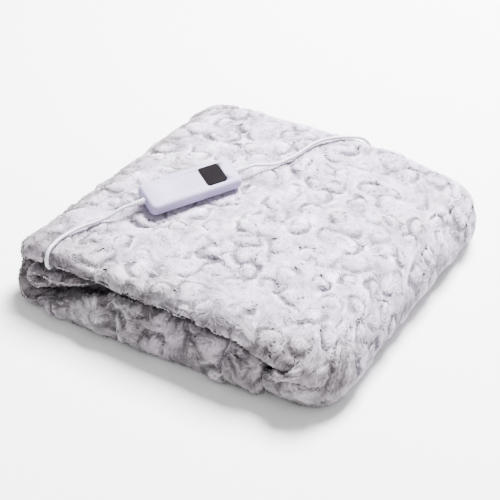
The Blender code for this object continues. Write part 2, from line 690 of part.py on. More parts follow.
def top_shell():
    """Upper half of the case, softly crowned, with a pocket for the display window."""
    shoulder = CONTROLLER_HEIGHT - CROWN_RISE
    side = edge_profile(CONTROLLER_SPLIT + CLEAR, shoulder, CASE_SPLIT_EDGE, CASE_TOP_EDGE)
    crown = [(0.0090, shoulder + 0.4 * CROWN_RISE), (0.0150, CONTROLLER_HEIGHT)]
    mesh = stacked(
        "controller_top", CONTROLLER_LENGTH, CONTROLLER_WIDTH, CONTROLLER_CORNER, side + crown
    )
    obj = finish("controller_top", mesh, WHITE_PLASTIC, 0.35)
    obj.matrix_world = controller_place()
    pocket_rows = [(-CLEAR, CONTROLLER_HEIGHT - WINDOW_DEEP), (-CLEAR, CONTROLLER_HEIGHT + 0.004)]
    pocket_mesh = stacked("pocket", WINDOW_LENGTH, WINDOW_WIDTH, WINDOW_CORNER, pocket_rows)
    pocket = bpy.data.objects.new("pocket", pocket_mesh)
    bpy.context.scene.collection.objects.link(pocket)
    pocket.matrix_world = controller_place() @ Matrix.Translation((WINDOW_ALONG, 0.0, 0.0))
    pocket.hide_render = True
    pocket.display_type = "WIRE"
    cut = obj.modifiers.new("window pocket", "BOOLEAN")
    cut.operation = "DIFFERENCE"
    cut.object = pocket
    return obj


def display_window():
    """Glossy black window that covers the controller's display and touch keys."""
    low = CONTROLLER_HEIGHT - WINDOW_DEEP + CLEAR
    profile = edge_profile(low, CONTROLLER_HEIGHT + WINDOW_PROUD, 0.0002, 0.0006, 3)
    mesh = stacked("display_window", WINDOW_LENGTH, WINDOW_WIDTH, WINDOW_CORNER, profile)
    obj = finish("display_window", mesh, (0.02, 0.02, 0.025), 0.08)
    obj.matrix_world = controller_place() @ Matrix.Translation((WINDOW_ALONG, 0.0, 0.0))
    return obj


def strain_relief(name, end):
    """Tapered ribbed boot on one end of the controller; end is -1 for the left and 1 for the right."""
    profile = [(0.0, RELIEF_WIDE_R)]
    for k in range(RELIEF_RIBS):
        for part, cut in ((0.35, 0.0), (0.55, 1.0), (0.85, 1.0), (1.0, 0.0)):
            t = (k + part) / RELIEF_RIBS
            radius = RELIEF_WIDE_R + (RELIEF_NARROW_R - RELIEF_WIDE_R) * t
            profile.append((RELIEF_LENGTH * t, radius - RELIEF_GROOVE * cut))
    obj = finish(name, turned(name, profile, 14), WHITE_PLASTIC, 0.5)
    start = CONTROLLER_LENGTH / 2 + CLEAR
    flip = Matrix.Identity(4) if end > 0 else Matrix.Rotation(math.pi, 4, "Z")
    obj.matrix_world = controller_place() @ flip @ Matrix.Translation((start, 0.0, RELIEF_AXIS))
    return obj


def relief_tip(end):
    """Middle of the face where a lead leaves its strain relief, and its direction there."""
    way = Vector((math.cos(CONTROLLER_TURN), math.sin(CONTROLLER_TURN), 0.0)) * end
    reach = CONTROLLER_LENGTH / 2 + RELIEF_LENGTH + 2 * CLEAR
    return controller_place() @ Vector((0.0, 0.0, RELIEF_AXIS)) + way * reach, way


# ---------------------------------------------------------------- the leads
def smooth_route(points, spacing):
    """Points at an even spacing on a smooth curve through the route's own points."""
    points = [Vector(p) for p in points]
    padded = [2 * points[0] - points[1]] + points + [2 * points[-1] - points[-2]]
    fine = []
    for k in range(1, len(padded) - 2):
        p0, p1, p2, p3 = padded[k - 1 : k + 3]
        for step in range(12):
            t = step / 12
            fine.append(
                0.5
                * (
                    2 * p1
                    + (p2 - p0) * t
                    + (2 * p0 - 5 * p1 + 4 * p2 - p3) * t**2
                    + (3 * p1 - p0 - 3 * p2 + p3) * t**3
                )
            )
    fine.append(points[-1])
    lengths = np.concatenate([[0.0], np.cumsum([(b - a).length for a, b in zip(fine, fine[1:])])])
    count = max(2, round(lengths[-1] / spacing) + 1)
    wanted = np.linspace(0.0, lengths[-1], count)
    return [
        Vector([np.interp(place, lengths, [p[axis] for p in fine]) for axis in range(3)])
        for place in wanted
    ], float(lengths[-1])


def lead(name, points):
    """A round lead along a route, as a curve with a bevel and closed ends."""
    route, length = smooth_route(points, 2.6 * LEAD_DIAMETER)
    curve = bpy.data.curves.new(name, "CURVE")
    curve.dimensions = "3D"
    spline = curve.splines.new("POLY")
    spline.points.add(len(route) - 1)
    for place, point in zip(spline.points, route):
        place.co = (*point, 1.0)
    curve.bevel_depth = LEAD_R
    curve.bevel_resolution = 2
    curve.use_fill_caps = True
    obj = finish(name, curve, LEAD_WHITE, 0.45)
    obj["length_m"] = length
    return obj


def coil():
    """The wound length of the mains lead: a turned ring of the coil's outer shape."""
    steps, sides = 3, 40
    section = []
    for quarter, (sx, sz) in enumerate(((1, 1), (-1, 1), (-1, -1), (1, -1))):
        for k in range(steps + 1):
            angle = math.radians(90 * quarter + 90 * k / steps)
            r = (COIL_MEAN_DIAMETER + sx * COIL_WIDE) / 2 + LEAD_R * (math.cos(angle) - sx)
            z = COIL_BASE + (COIL_TALL + sz * COIL_TALL) / 2 + LEAD_R * (math.sin(angle) - sz)
            section.append((r, z))
    count = len(section)
    verts, faces = [], []
    for side in range(sides):
        angle = 2 * math.pi * side / sides
        verts += [(r * math.cos(angle), r * math.sin(angle), z) for r, z in section]
        for k in range(count):
            a, b = side * count + k, side * count + (k + 1) % count
            far = ((side + 1) % sides - side) * count
            faces.append([a, b, b + far, a + far])
    obj = finish("lead_coil", mesh_from("lead_coil", verts, faces), LEAD_WHITE, 0.45)
    obj.location = (COIL_X, COIL_Y, 0.0)
    return obj


def coil_tie():
    """Soft twist band that holds the coil's turns together."""
    rings = []
    for thick, side in ((TIE_THICK, -1), (TIE_THICK, 1), (0.0, 1), (0.0, -1)):
        off = TIE_SLACK + thick
        ring = rounded_ring(COIL_WIDE + 2 * off, COIL_TALL + 2 * off, LEAD_R + off, 0.0, 3)
        rings.append([(x, side * TIE_BAND / 2, z) for x, z, _ in ring])
    count = len(rings[0])
    verts = [point for ring in rings for point in ring]
    faces = []
    for level in range(4):
        for k in range(count):
            a, b = level * count + k, level * count + (k + 1) % count
            c = ((level + 1) % 4) * count + (k + 1) % count
            faces.append([a, b, c, c - (k + 1) % count + k])
    obj = finish("coil_tie", mesh_from("coil_tie", verts, faces), (0.10, 0.10, 0.11), 0.6)
    place = Matrix.Translation((COIL_X, COIL_Y, COIL_BASE + COIL_TALL / 2))
    outward = Matrix.Translation((COIL_MEAN_DIAMETER / 2, 0.0, 0.0))
    obj.matrix_world = place @ Matrix.Rotation(TIE_TURN, 4, "Z") @ outward
    return obj


# ---------------------------------------------------------------- the plug
def plug_body():
    """Flat body of a two-pin mains plug, lying on the surface, pins towards -X."""
    length, width, height = PLUG_BODY
    rows = edge_profile(CLEAR, height, PLUG_EDGE, PLUG_EDGE)
    mesh = stacked("plug_body", length, width, PLUG_CORNER, rows)
    obj = finish("plug_body", mesh, WHITE_PLASTIC, 0.45)
    obj.location = (PLUG_X, PLUG_Y, 0.0)
    return obj


def plug_relief():
    """Tapered boot between the plug and its lead."""
    rows = [(0.0, 0.0050), (0.004, 0.0050), (0.010, 0.0040), (RELIEF_LENGTH, RELIEF_NARROW_R)]
    obj = finish("plug_relief", turned("plug_relief", rows, 14), WHITE_PLASTIC, 0.5)
    obj.location = (PLUG_X + PLUG_BODY[0] / 2 + CLEAR, PLUG_Y, PLUG_BODY[2] / 2)
    return obj


def plug_pins():
    """The plug's two round pins."""
    for name, side in (("plug_pin_left", -1), ("plug_pin_right", 1)):
        rows = [(0.0, PIN_R), (PIN_LENGTH - 0.001, PIN_R), (PIN_LENGTH, PIN_R * 0.55)]
        obj = finish(name, turned(name, rows, 16), (0.78, 0.74, 0.62), 0.25, 1.0)
        turn = Matrix.Rotation(math.pi, 4, "Z")
        place = (PLUG_X - PLUG_BODY[0] / 2 - CLEAR, PLUG_Y + side * PIN_PITCH / 2, PLUG_BODY[2] / 2)
        obj.matrix_world = Matrix.Translation(place) @ turn


def centre_on(stack):
    """Move every piece so that the stack's box is centred on the origin."""
    for axis in range(2):
        places = [vert.co[axis] for vert in stack.data.vertices]
        middle = (min(places) + max(places)) / 2
        for obj in bpy.context.scene.objects:
            obj.location[axis] -= middle


def main():
    """Clear the scene and make each piece."""
    for leftover in list(bpy.data.objects):
        bpy.data.objects.remove(leftover, do_unlink=True)
    stack = blanket()
    base_shell()
    top_shell()
    display_window()
    strain_relief("relief_left", -1)
    strain_relief("relief_right", 1)
    left_tip, left_way = relief_tip(-1)
    right_tip, right_way = relief_tip(1)
    lead("control_lead", (left_tip, left_tip + left_way * LEAD_STRAIGHT, *CONTROL_ROUTE))
    lead("mains_lead", (right_tip, right_tip + right_way * LEAD_STRAIGHT, *MAINS_ROUTE))
    coil()
    coil_tie()
    plug_end = Vector((PLUG_X + PLUG_BODY[0] / 2 + RELIEF_LENGTH + 2 * CLEAR, PLUG_Y, PLUG_BODY[2] / 2))
    lead("plug_lead", (*PLUG_ROUTE, plug_end + Vector((LEAD_STRAIGHT, 0.0, 0.0)), plug_end))
    plug_relief()
    plug_body()
    plug_pins()
    centre_on(stack)


main()
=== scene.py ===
"""Looks of the folded electric heated blanket.

The plush cloth, its pile, the hand controller, the leads, the coil and the plug are built around
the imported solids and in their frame. Metres, +Z up, the origin under the middle of the stack.
"""
import logging
from collections.abc import Iterable, Mapping, Sequence
from dataclasses import dataclass
from enum import Enum
from math import (
    acos, atan2, ceil, copysign, cos, degrees, dist, exp, hypot, pi, radians, sin, sqrt, tan,
    tau,
)

import bmesh
import bpy
import numpy as np
from mathutils import Matrix, Vector
from mathutils.bvhtree import BVHTree
from numpy.linalg import norm


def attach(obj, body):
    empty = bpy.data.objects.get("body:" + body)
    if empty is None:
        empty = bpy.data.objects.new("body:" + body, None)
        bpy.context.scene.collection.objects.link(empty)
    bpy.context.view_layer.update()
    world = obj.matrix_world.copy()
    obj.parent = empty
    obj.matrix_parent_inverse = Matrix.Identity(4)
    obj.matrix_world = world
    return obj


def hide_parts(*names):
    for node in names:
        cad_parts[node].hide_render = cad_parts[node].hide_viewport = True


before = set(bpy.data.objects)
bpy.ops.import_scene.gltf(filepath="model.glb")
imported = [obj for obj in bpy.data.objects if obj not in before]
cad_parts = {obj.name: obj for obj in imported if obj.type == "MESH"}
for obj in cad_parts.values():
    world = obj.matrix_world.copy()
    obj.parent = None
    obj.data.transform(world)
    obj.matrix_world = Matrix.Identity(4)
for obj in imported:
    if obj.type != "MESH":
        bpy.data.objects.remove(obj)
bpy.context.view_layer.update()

logging.basicConfig(level=logging.INFO, format="%(message)s")
log = logging.getLogger("blanket")

Point = tuple[float, float, float]
Colour = tuple[float, float, float]
Row = tuple[float, float]
Array = np.ndarray
Mesh = bpy.types.Mesh
Piece = bpy.types.Object

BODY = "root"
BAKE_MAP = "OFBake"
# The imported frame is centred; what is placed from the stack's own middle is moved by this much.
SHIFT = Vector((-0.001475, 0.00042, 0.0))
STACK_Y = 0.47
STACK_Z = 0.086
CLEAR = 0.0003
SHARP_EDGE = radians(38)
LEAST_CORNER = 0.0005
# What is kept on the points of the cloth and the pile for their finishes.
SHADE = "pile_shade"
# The fold colours' share: grey dye and painted shade, on the front, low down and inside the folds.
FOLD = "fold_shade"
STRAND = "strand_place"


class Slot(Enum):
    """The record's material slots."""

    PLUSH = "plush"
    CASE = "case"
    WINDOW = "window"
    LEAD = "lead"
    TIE = "tie"
    PINS = "pins"


# --- shader maths
class Value:
    """A socket's value; sums and products of Values add Math nodes."""

    def __init__(self, paint: "Paint", socket: bpy.types.NodeSocket) -> None:
        """Keep the paint and the socket."""
        self.paint = paint
        self.socket = socket

    def _math(self, operation: str, first: object, second: object) -> "Value":
        """Add one Math node and give its result."""
        return self.paint.node("ShaderNodeMath", {"operation": operation}, {0: first, 1: second})

    def __add__(self, other: object) -> "Value":
        """Add to a value or a number."""
        return self._math("ADD", self, other)

    __radd__ = __add__

    def __sub__(self, other: object) -> "Value":
        """Take a value or a number away."""
        return self._math("SUBTRACT", self, other)

    def __rsub__(self, other: object) -> "Value":
        """Take this value away from a number."""
        return self._math("SUBTRACT", other, self)

    def __mul__(self, other: object) -> "Value":
        """Multiply by a value or a number."""
        return self._math("MULTIPLY", self, other)

    __rmul__ = __mul__


class Paint:
    """A material being made: its Principled shader and the nodes that feed it."""

    def __init__(self, name: str) -> None:
        """Start a material with a plain Principled shader.

        Args:
            name: The material's name.
        """
        self.material = bpy.data.materials.new(name)
        self.material.use_nodes = True
        self.tree = self.material.node_tree
        self.shader = self.tree.nodes["Principled BSDF"]

    def feed(self, socket: bpy.types.NodeSocket, value: object) -> None:
        """Link a Value to a socket, or set a number or colour.

        Args:
            socket: The socket.
            value: What it gets.
        """
        if isinstance(value, Value):
            self.tree.links.new(value.socket, socket)
        else:
            socket.default_value = value

    def drive(self, name: str, value: Value) -> None:
        """Link a value to one of the shader's sockets."""
        self.feed(self.shader.inputs[name], value)

    def fixed(self, **numbers: object) -> None:
        """Set what is the same all over the surface; an underscore stands for a space."""
        for name, number in numbers.items():
            self.shader.inputs[name.replace("_", " ")].default_value = number

    def node(
        self,
        kind: str,
        settings: Mapping[str, object],
        inputs: Mapping[int | str, object],
        output: int | str = 0,
    ) -> Value:
        """Add any node.

        Args:
            kind: The node's type.
            settings: Its own settings; stops are a ramp's places and colours.
            inputs: Values, numbers or colours for its sockets.
            output: The socket that the result comes from.

        Returns:
            The value at that output.
        """
        made = self.tree.nodes.new(kind)
        for name, value in settings.items():
            if name != "stops":
                setattr(made, name, value)
                continue
            while len(made.color_ramp.elements) < len(value):
                made.color_ramp.elements.new(0.5)
            for element, (place, colour) in zip(made.color_ramp.elements, value):
                element.position = place
                element.color = (*colour, 1.0)
        for key, value in inputs.items():
            self.feed(made.inputs[key], value)
        return Value(self, made.outputs[output])

    def attribute(self, name: str) -> Value:
        """Read a number kept on the mesh's points."""
        return self.node("ShaderNodeAttribute", {"attribute_name": name}, {}, "Fac")

    def noise(self, scale: float, detail: float = 2.0, stretch: Point = (1.0, 1.0, 1.0)) -> Value:
        """Noise in the object's own metres.

        Args:
            scale: Lumps per metre.
            detail: Finer layers of noise.
            stretch: Scale along each axis.

        Returns:
            The noise, about 0.5 on average.
        """
        place = self.node("ShaderNodeTexCoord", {}, {}, "Object")
        mapped = self.node("ShaderNodeMapping", {}, {"Vector": place, "Scale": stretch})
        inputs = {"Vector": mapped, "Scale": scale, "Detail": detail}
        return self.node("ShaderNodeTexNoise", {}, inputs, "Fac")

    def ramp(self, value: Value, stops: Sequence[tuple[float, Colour]]) -> Value:
        """Turn a number into a colour along stops."""
        return self.node("ShaderNodeValToRGB", {"stops": stops}, {"Fac": value}, "Color")

    def mix(self, blend: str, share: Value, first: object, second: object) -> Value:
        """Mix two colours by a share, in one of Blender's blend types."""
        settings = {"data_type": "RGBA", "blend_type": blend}
        return self.node("ShaderNodeMix", settings, {0: share, 6: first, 7: second}, 2)

    def bump(self, height: Value, strength: float, distance: float) -> None:
        """Feed the shader's normal from a height."""
        inputs = {"Height": height, "Strength": strength, "Distance": distance}
        self.drive("Normal", self.node("ShaderNodeBump", {}, inputs, "Normal"))


# --- finishes
@dataclass(frozen=True)
class Finish:
    """What every finish has: its material's name and the record's slot that it belongs to."""

    name: str
    slot: Slot

    def material(self) -> bpy.types.Material:
        """The finish's one material, made at its first use."""
        return bpy.data.materials.get(self.name) or self.make()


@dataclass(frozen=True)
class PlushFinish(Finish):
    """Frosted plush: pale tips over a greyer ground, warmer and darker in the folds, partly grey
    dye and partly painted shade.
    """

    ground: Colour
    middle: Colour
    tip: Colour
    # Fold colours: the grey dye darkened further by painted shade on the front, low down and inside
    # the folds.
    dye_and_shade_ground: Colour
    dye_and_shade_tip: Colour
    tint: Colour = (0.92, 0.81, 1.0)
    tint_scale: float = 8.0
    mottle: float = 0.32
    mottle_scale: float = 42.0
    strand_scale: float = 3.2
    strand_shade: float = 0.18
    strand_bump: float = 0.35
    strand_depth: float = 0.0006

    def make(self) -> bpy.types.Material:
        """Build the material from what is kept on the mesh's points.

        Returns:
            The material.
        """
        paint = Paint(self.name)
        across = {"W": paint.attribute(STRAND), "Scale": self.strand_scale, "Detail": 1.0}
        strands = paint.node("ShaderNodeTexNoise", {"noise_dimensions": "1D"}, across)
        patches = (paint.noise(self.mottle_scale, 3.0) - 0.5) * self.mottle
        shade = paint.attribute(SHADE) + patches + (strands - 0.5) * self.strand_shade
        open_colour = paint.ramp(shade, ((0.0, self.ground), (0.55, self.middle), (1.0, self.tip)))
        # Painted shade and grey dye: the fold colours are mixed in by the fold attribute.
        dye_and_shade_colour = paint.ramp(shade, ((0.0, self.dye_and_shade_ground), (1.0, self.dye_and_shade_tip)))
        mixed = paint.mix("MIX", paint.attribute(FOLD), open_colour, dye_and_shade_colour)
        tinting = paint.noise(self.tint_scale)
        paint.drive("Base Color", paint.mix("MULTIPLY", tinting, mixed, (*self.tint, 1.0)))
        paint.bump(strands, self.strand_bump, self.strand_depth)
        paint.fixed(Roughness=0.85, Specular_IOR_Level=0.25)
        paint.fixed(Sheen_Weight=0.22, Sheen_Roughness=0.45)
        return paint.material


@dataclass(frozen=True)
class PlasticFinish(Finish):
    """Moulded plastic with a fine spark texture and faint unevenness in its tone and gloss."""

    colour: Colour
    toned: Colour
    roughness: float
    spread: float
    grain: float
    shine: float = 0.5
    patch_scale: float = 45.0
    worn_scale: float = 160.0
    grain_scale: float = 2600.0
    grain_depth: float = 0.0002

    def make(self) -> bpy.types.Material:
        """Build the material.

        Returns:
            The material.
        """
        paint = Paint(self.name)
        stops = ((0.3, self.toned), (0.7, self.colour))
        paint.drive("Base Color", paint.ramp(paint.noise(self.patch_scale, 3.0), stops))
        worn = paint.noise(self.worn_scale, 4.0)
        paint.drive("Roughness", (worn - 0.5) * self.spread + self.roughness)
        paint.bump(paint.noise(self.grain_scale, 1.0), self.grain, self.grain_depth)
        paint.fixed(Specular_IOR_Level=self.shine)
        return paint.material


@dataclass(frozen=True)
class MetalFinish(Finish):
    """Plated metal with fine lengthwise drawing marks."""

    colour: Colour
    dull: Colour
    roughness: float
    mark_scale: float = 900.0
    mark_stretch: Point = (0.06, 1.0, 1.0)
    spread: float = 0.22
    mark_bump: float = 0.08
    mark_depth: float = 0.0001

    def make(self) -> bpy.types.Material:
        """Build the material.

        Returns:
            The material.
        """
        paint = Paint(self.name)
        marks = paint.noise(self.mark_scale, 3.0, self.mark_stretch)
        paint.drive("Base Color", paint.ramp(marks, ((0.3, self.dull), (0.7, self.colour))))
        paint.drive("Roughness", marks * self.spread + self.roughness)
        paint.bump(marks, self.mark_bump, self.mark_depth)
        paint.fixed(Metallic=1.0)
        return paint.material


CASE_WHITE = PlasticFinish(
    "case_white", Slot.CASE, (0.365, 0.325, 0.49), (0.345, 0.305, 0.465), 0.5, 0.1, 0.05, 0.22
)
WINDOW_BLACK = PlasticFinish(
    "window_black", Slot.WINDOW, (0.006, 0.005, 0.006), (0.009, 0.007, 0.009),
    0.3, 0.06, 0.01, 0.002,
)
MARK_GREY = PlasticFinish(
    "mark_grey", Slot.CASE, (0.21, 0.2, 0.25), (0.19, 0.18, 0.23), 0.5, 0.05, 0.02
)
SHEATH_WHITE = PlasticFinish(
    "sheath_white", Slot.LEAD, (0.58, 0.56, 0.625), (0.54, 0.52, 0.585), 0.45, 0.1, 0.08
)
BAND_BLACK = PlasticFinish(
    "band_black", Slot.TIE, (0.055, 0.055, 0.06), (0.035, 0.035, 0.04), 0.62, 0.12, 0.12
)
PIN_METAL = MetalFinish("pin_metal", Slot.PINS, (0.8, 0.76, 0.66), (0.66, 0.62, 0.52), 0.2)
CLOTH_GROUND = PlushFinish(
    "cloth_ground",
    Slot.PLUSH,
    ground=(0.16, 0.148, 0.172),
    middle=(0.45, 0.42, 0.48),
    tip=(0.66, 0.62, 0.71),
    # Fold colours: grey dye and painted shade.
    dye_and_shade_ground=(0.09, 0.084, 0.082),
    dye_and_shade_tip=(0.36, 0.345, 0.34),
)
PILE_FIBRE = PlushFinish(
    "pile_fibre",
    Slot.PLUSH,
    ground=(0.17, 0.158, 0.182),
    middle=(0.54, 0.505, 0.575),
    tip=(0.85, 0.8, 0.91),
    # Fold colours: grey dye and painted shade.
    dye_and_shade_ground=(0.085, 0.08, 0.078),
    dye_and_shade_tip=(0.42, 0.4, 0.395),
)


# --- mesh helpers
def smoothstep(t: Array | float) -> Array:
    """Ease from 0 to 1 with a level start and end."""
    t = np.clip(t, 0.0, 1.0)
    return t * t * (3.0 - 2.0 * t)


def ease(t: float) -> float:
    """Ease one number from 0 to 1."""
    return float(smoothstep(t))


def unit(vectors: Array) -> Array:
    """Make vectors along the last axis one long."""
    return vectors / np.maximum(norm(vectors, axis=-1, keepdims=True), 1e-12)


def quarter_turn(steps: int) -> list[float]:
    """Angles from 0 to a right angle."""
    return [pi / 2 * k / steps for k in range(steps + 1)]


def shifted(x: float, y: float, z: float) -> Matrix:
    """Move to a place that is given before the part's shift."""
    return Matrix.Translation(Vector((x, y, z)) + SHIFT)


def link(obj: Piece) -> None:
    """Put an object in the scene."""
    bpy.context.scene.collection.objects.link(obj)


def add_object(data: bpy.types.ID, finish: Finish, *nodes: str) -> Piece:
    """Link a piece under its data's name, dress it and set it on the body.

    Args:
        data: Its mesh or curve, in the part's frame.
        finish: Its finish.
        nodes: The solids that it replaces, if any.

    Returns:
        The new object.
    """
    obj = bpy.data.objects.new(data.name, data)
    link(obj)
    data.materials.append(finish.material())
    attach(obj, BODY)
    if nodes:
        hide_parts(*nodes)
    return obj


def closed_mesh(name: str, verts: Iterable[Point], faces: Iterable[Sequence[int]]) -> Mesh:
    """Make a smooth mesh that keeps its sharp edges, its faces turned out.

    Args:
        name: The mesh's name.
        verts: Its points.
        faces: Its faces.

    Returns:
        The mesh.
    """
    mesh = bpy.data.meshes.new(name)
    mesh.from_pydata([tuple(v) for v in verts], [], [list(f) for f in faces])
    work = bmesh.new()
    work.from_mesh(mesh)
    bmesh.ops.recalc_face_normals(work, faces=work.faces[:])
    work.to_mesh(mesh)
    work.free()
    mesh.shade_smooth()
    mesh.set_sharp_from_angle(angle=SHARP_EDGE)
    return mesh


def lofted(name: str, rings: Sequence[Sequence[Point]], place: Matrix) -> Mesh:
    """Join rings of points and close both ends.

    Args:
        name: The mesh's name.
        rings: Rings of as many points each, in order.
        place: Where the mesh goes in the part's frame.

    Returns:
        The mesh.
    """
    count = len(rings[0])
    verts = [place @ Vector(point) for ring in rings for point in ring]
    last = (len(rings) - 1) * count
    faces = [list(range(count))[::-1], list(range(last, last + count))]
    for level in range(len(rings) - 1):
        for k in range(count):
            a, b = level * count + k, level * count + (k + 1) % count
            faces.append([a, b, b + count, a + count])
    return closed_mesh(name, verts, faces)


def rounded_ring(
    length: float, width: float, corner: float, z: float, steps: int = 10
) -> list[Point]:
    """Draw a level rectangle with round corners.

    Args:
        length: Size along X.
        width: Size along Y.
        corner: Radius of the corners.
        z: Height of the ring.
        steps: Steps in each corner.

    Returns:
        The ring's points.
    """
    ring = []
    for quarter, (sign_x, sign_y) in enumerate(((1, 1), (-1, 1), (-1, -1), (1, -1))):
        for k in range(steps + 1):
            angle = radians(90 * quarter + 90 * k / steps)
            x = sign_x * (length / 2 - corner) + corner * cos(angle)
            y = sign_y * (width / 2 - corner) + corner * sin(angle)
            ring.append((x, y, z))
    return ring


def box_rings(
    length: float, width: float, corner: float, rows: Iterable[Row], steps: int = 10
) -> list[list[Point]]:
    """Draw the rings of a box with round corners.

    Args:
        length: Full size along X.
        width: Full size along Y.
        corner: Radius of the corners at full size.
        rows: Inset from the full size, and height, of each ring.
        steps: Steps in each corner.

    Returns:
        The rings.
    """
    rings = []
    for inset, z in rows:
        radius = max(corner - inset * 0.6, LEAST_CORNER)
        rings.append(rounded_ring(length - 2 * inset, width - 2 * inset, radius, z, steps))
    return rings


def edge_rows(low: float, high: float, foot: float, head: float, steps: int = 7) -> list[Row]:
    """Insets and heights of a box with rounded edges.

    Args:
        low: Height of the underside.
        high: Height of the top.
        foot: Radius of the lower edge.
        head: Radius of the upper edge.
        steps: Steps in each edge.

    Returns:
        Inset and height of each row.
    """
    turns = quarter_turn(steps)
    rows = [(foot * (1 - sin(a)), low + foot * (1 - cos(a))) for a in turns]
    return rows + [(head * (1 - cos(a)), high - head * (1 - sin(a))) for a in turns]


def turned_rings(rows: Iterable[Row], sides: int = 28) -> list[list[Point]]:
    """Rings of a solid turned about X; each row gives x and the radius there."""
    angles = [tau * k / sides for k in range(sides)]
    return [[(x, r * cos(a), r * sin(a)) for a in angles] for x, r in rows]


def ribbed(rows: Sequence[Row], end: Row, ribs: int, rib: Sequence[Row]) -> list[Row]:
    """Carry a tapered boot's rows on to its end with ribs and grooves.

    Args:
        rows: Its first rows, each x and radius.
        end: X and radius at its end.
        ribs: How many ribs it has.
        rib: Share of the way along one rib, and how deep it is cut in there.

    Returns:
        All the rows.
    """
    start, wide = rows[-1]
    shares = [((k + part) / ribs, dip) for k in range(ribs) for part, dip in rib]
    taper = [(start + (end[0] - start) * t, wide + (end[1] - wide) * t - dip) for t, dip in shares]
    return [*rows, *taper]


def smooth_through(rows: Array, counts: Sequence[int]) -> Array:
    """Draw a Catmull-Rom curve through rows of points.

    Args:
        rows: Points along the first axis.
        counts: Steps in each gap between two rows.

    Returns:
        The finer rows.
    """
    first, last = 2 * rows[0] - rows[1], 2 * rows[-1] - rows[-2]
    padded = np.concatenate([first[None], rows, last[None]])
    finer = []
    for k, count in enumerate(counts):
        p0, p1, p2, p3 = padded[k : k + 4]
        for step in range(count):
            t = step / count
            bend = 2 * p0 - 5 * p1 + 4 * p2 - p3
            twist = 3 * p1 - p0 - 3 * p2 + p3
            finer.append(0.5 * (2 * p1 + (p2 - p0) * t + bend * t**2 + twist * t**3))
    finer.append(rows[-1])
    return np.array(finer)


def even_route(
    points: Sequence[Sequence[float]], spacing: float, fineness: int = 10
) -> list[Vector]:
    """Even points on a smooth curve through a route's points.

    Args:
        points: The route.
        spacing: Distance between the even points.
        fineness: Steps between two points of the route.

    Returns:
        The even points, with both ends kept.
    """
    places = np.array([tuple(p) for p in points], float)
    fine = smooth_through(places, [fineness] * (len(places) - 1))
    walked = np.concatenate([[0.0], np.cumsum(norm(np.diff(fine, axis=0), axis=1))])
    count = max(2, round(walked[-1] / spacing) + 1)
    wanted = np.linspace(0.0, walked[-1], count)
    return [Vector([np.interp(s, walked, fine[:, k]) for k in range(3)]) for s in wanted]


# --- studio
@dataclass(frozen=True)
class Studio:
    """Plain pale floor, soft lights and the camera at the photograph's angle."""

    camera_place: Point = (0.5493, -0.9044, 0.7924)
    camera_target: Point = (-0.0212, 0.0158, 0.0)
    lens: float = 73.66
    sensor: float = 36.0
    nearest_shown: float = 0.01
    floor_size: float = 14.0
    floor_drop: float = 0.0002
    floor_colour: Colour = (0.93, 0.93, 0.94)
    sky: Colour = (1.0, 1.0, 1.0)
    sky_strength: float = 0.8
    # Soft square lights: name, place, size and watts.
    lamps: tuple[tuple[str, Point, float, float], ...] = (
        ("key", (0.0, 1.4, 2.3), 1.2, 640.0),
        ("fill", (1.6, -1.2, 2.0), 2.2, 12.0),
    )

    def place_camera(self) -> None:
        """Make the camera and make it the scene's own."""
        data = bpy.data.cameras.new("studio_camera")
        data.lens = self.lens
        data.sensor_width = self.sensor
        data.clip_start = self.nearest_shown
        camera = bpy.data.objects.new("studio_camera", data)
        camera.location = self.camera_place
        aim = Vector(self.camera_target) - Vector(self.camera_place)
        camera.rotation_euler = aim.to_track_quat("-Z", "Y").to_euler()
        link(camera)
        bpy.context.scene.camera = camera

    def lay_floor(self) -> None:
        """Lay a wide pale floor just under the part."""
        half = self.floor_size / 2
        corners = [(-half, -half, 0.0), (half, -half, 0.0), (half, half, 0.0), (-half, half, 0.0)]
        mesh = bpy.data.meshes.new("floor")
        mesh.from_pydata(corners, [], [[0, 1, 2, 3]])
        paint = Paint("pale_floor")
        paint.fixed(Base_Color=(*self.floor_colour, 1.0), Roughness=0.95)
        mesh.materials.append(paint.material)
        floor = bpy.data.objects.new("floor", mesh)
        floor.location.z = -self.floor_drop
        link(floor)

    def set_up(self) -> None:
        """Make the floor, the sky and the lights."""
        self.lay_floor()
        world = bpy.data.worlds.new("studio")
        world.use_nodes = True
        background = world.node_tree.nodes["Background"]
        background.inputs["Color"].default_value = (*self.sky, 1.0)
        background.inputs["Strength"].default_value = self.sky_strength
        bpy.context.scene.world = world
        for name, place, size, watts in self.lamps:
            data = bpy.data.lights.new(name, "AREA")
            data.energy = watts
            data.size = size
            lamp = bpy.data.objects.new(name, data)
            lamp.location = place
            lamp.rotation_euler = (-Vector(place)).to_track_quat("-Z", "Y").to_euler()
            link(lamp)


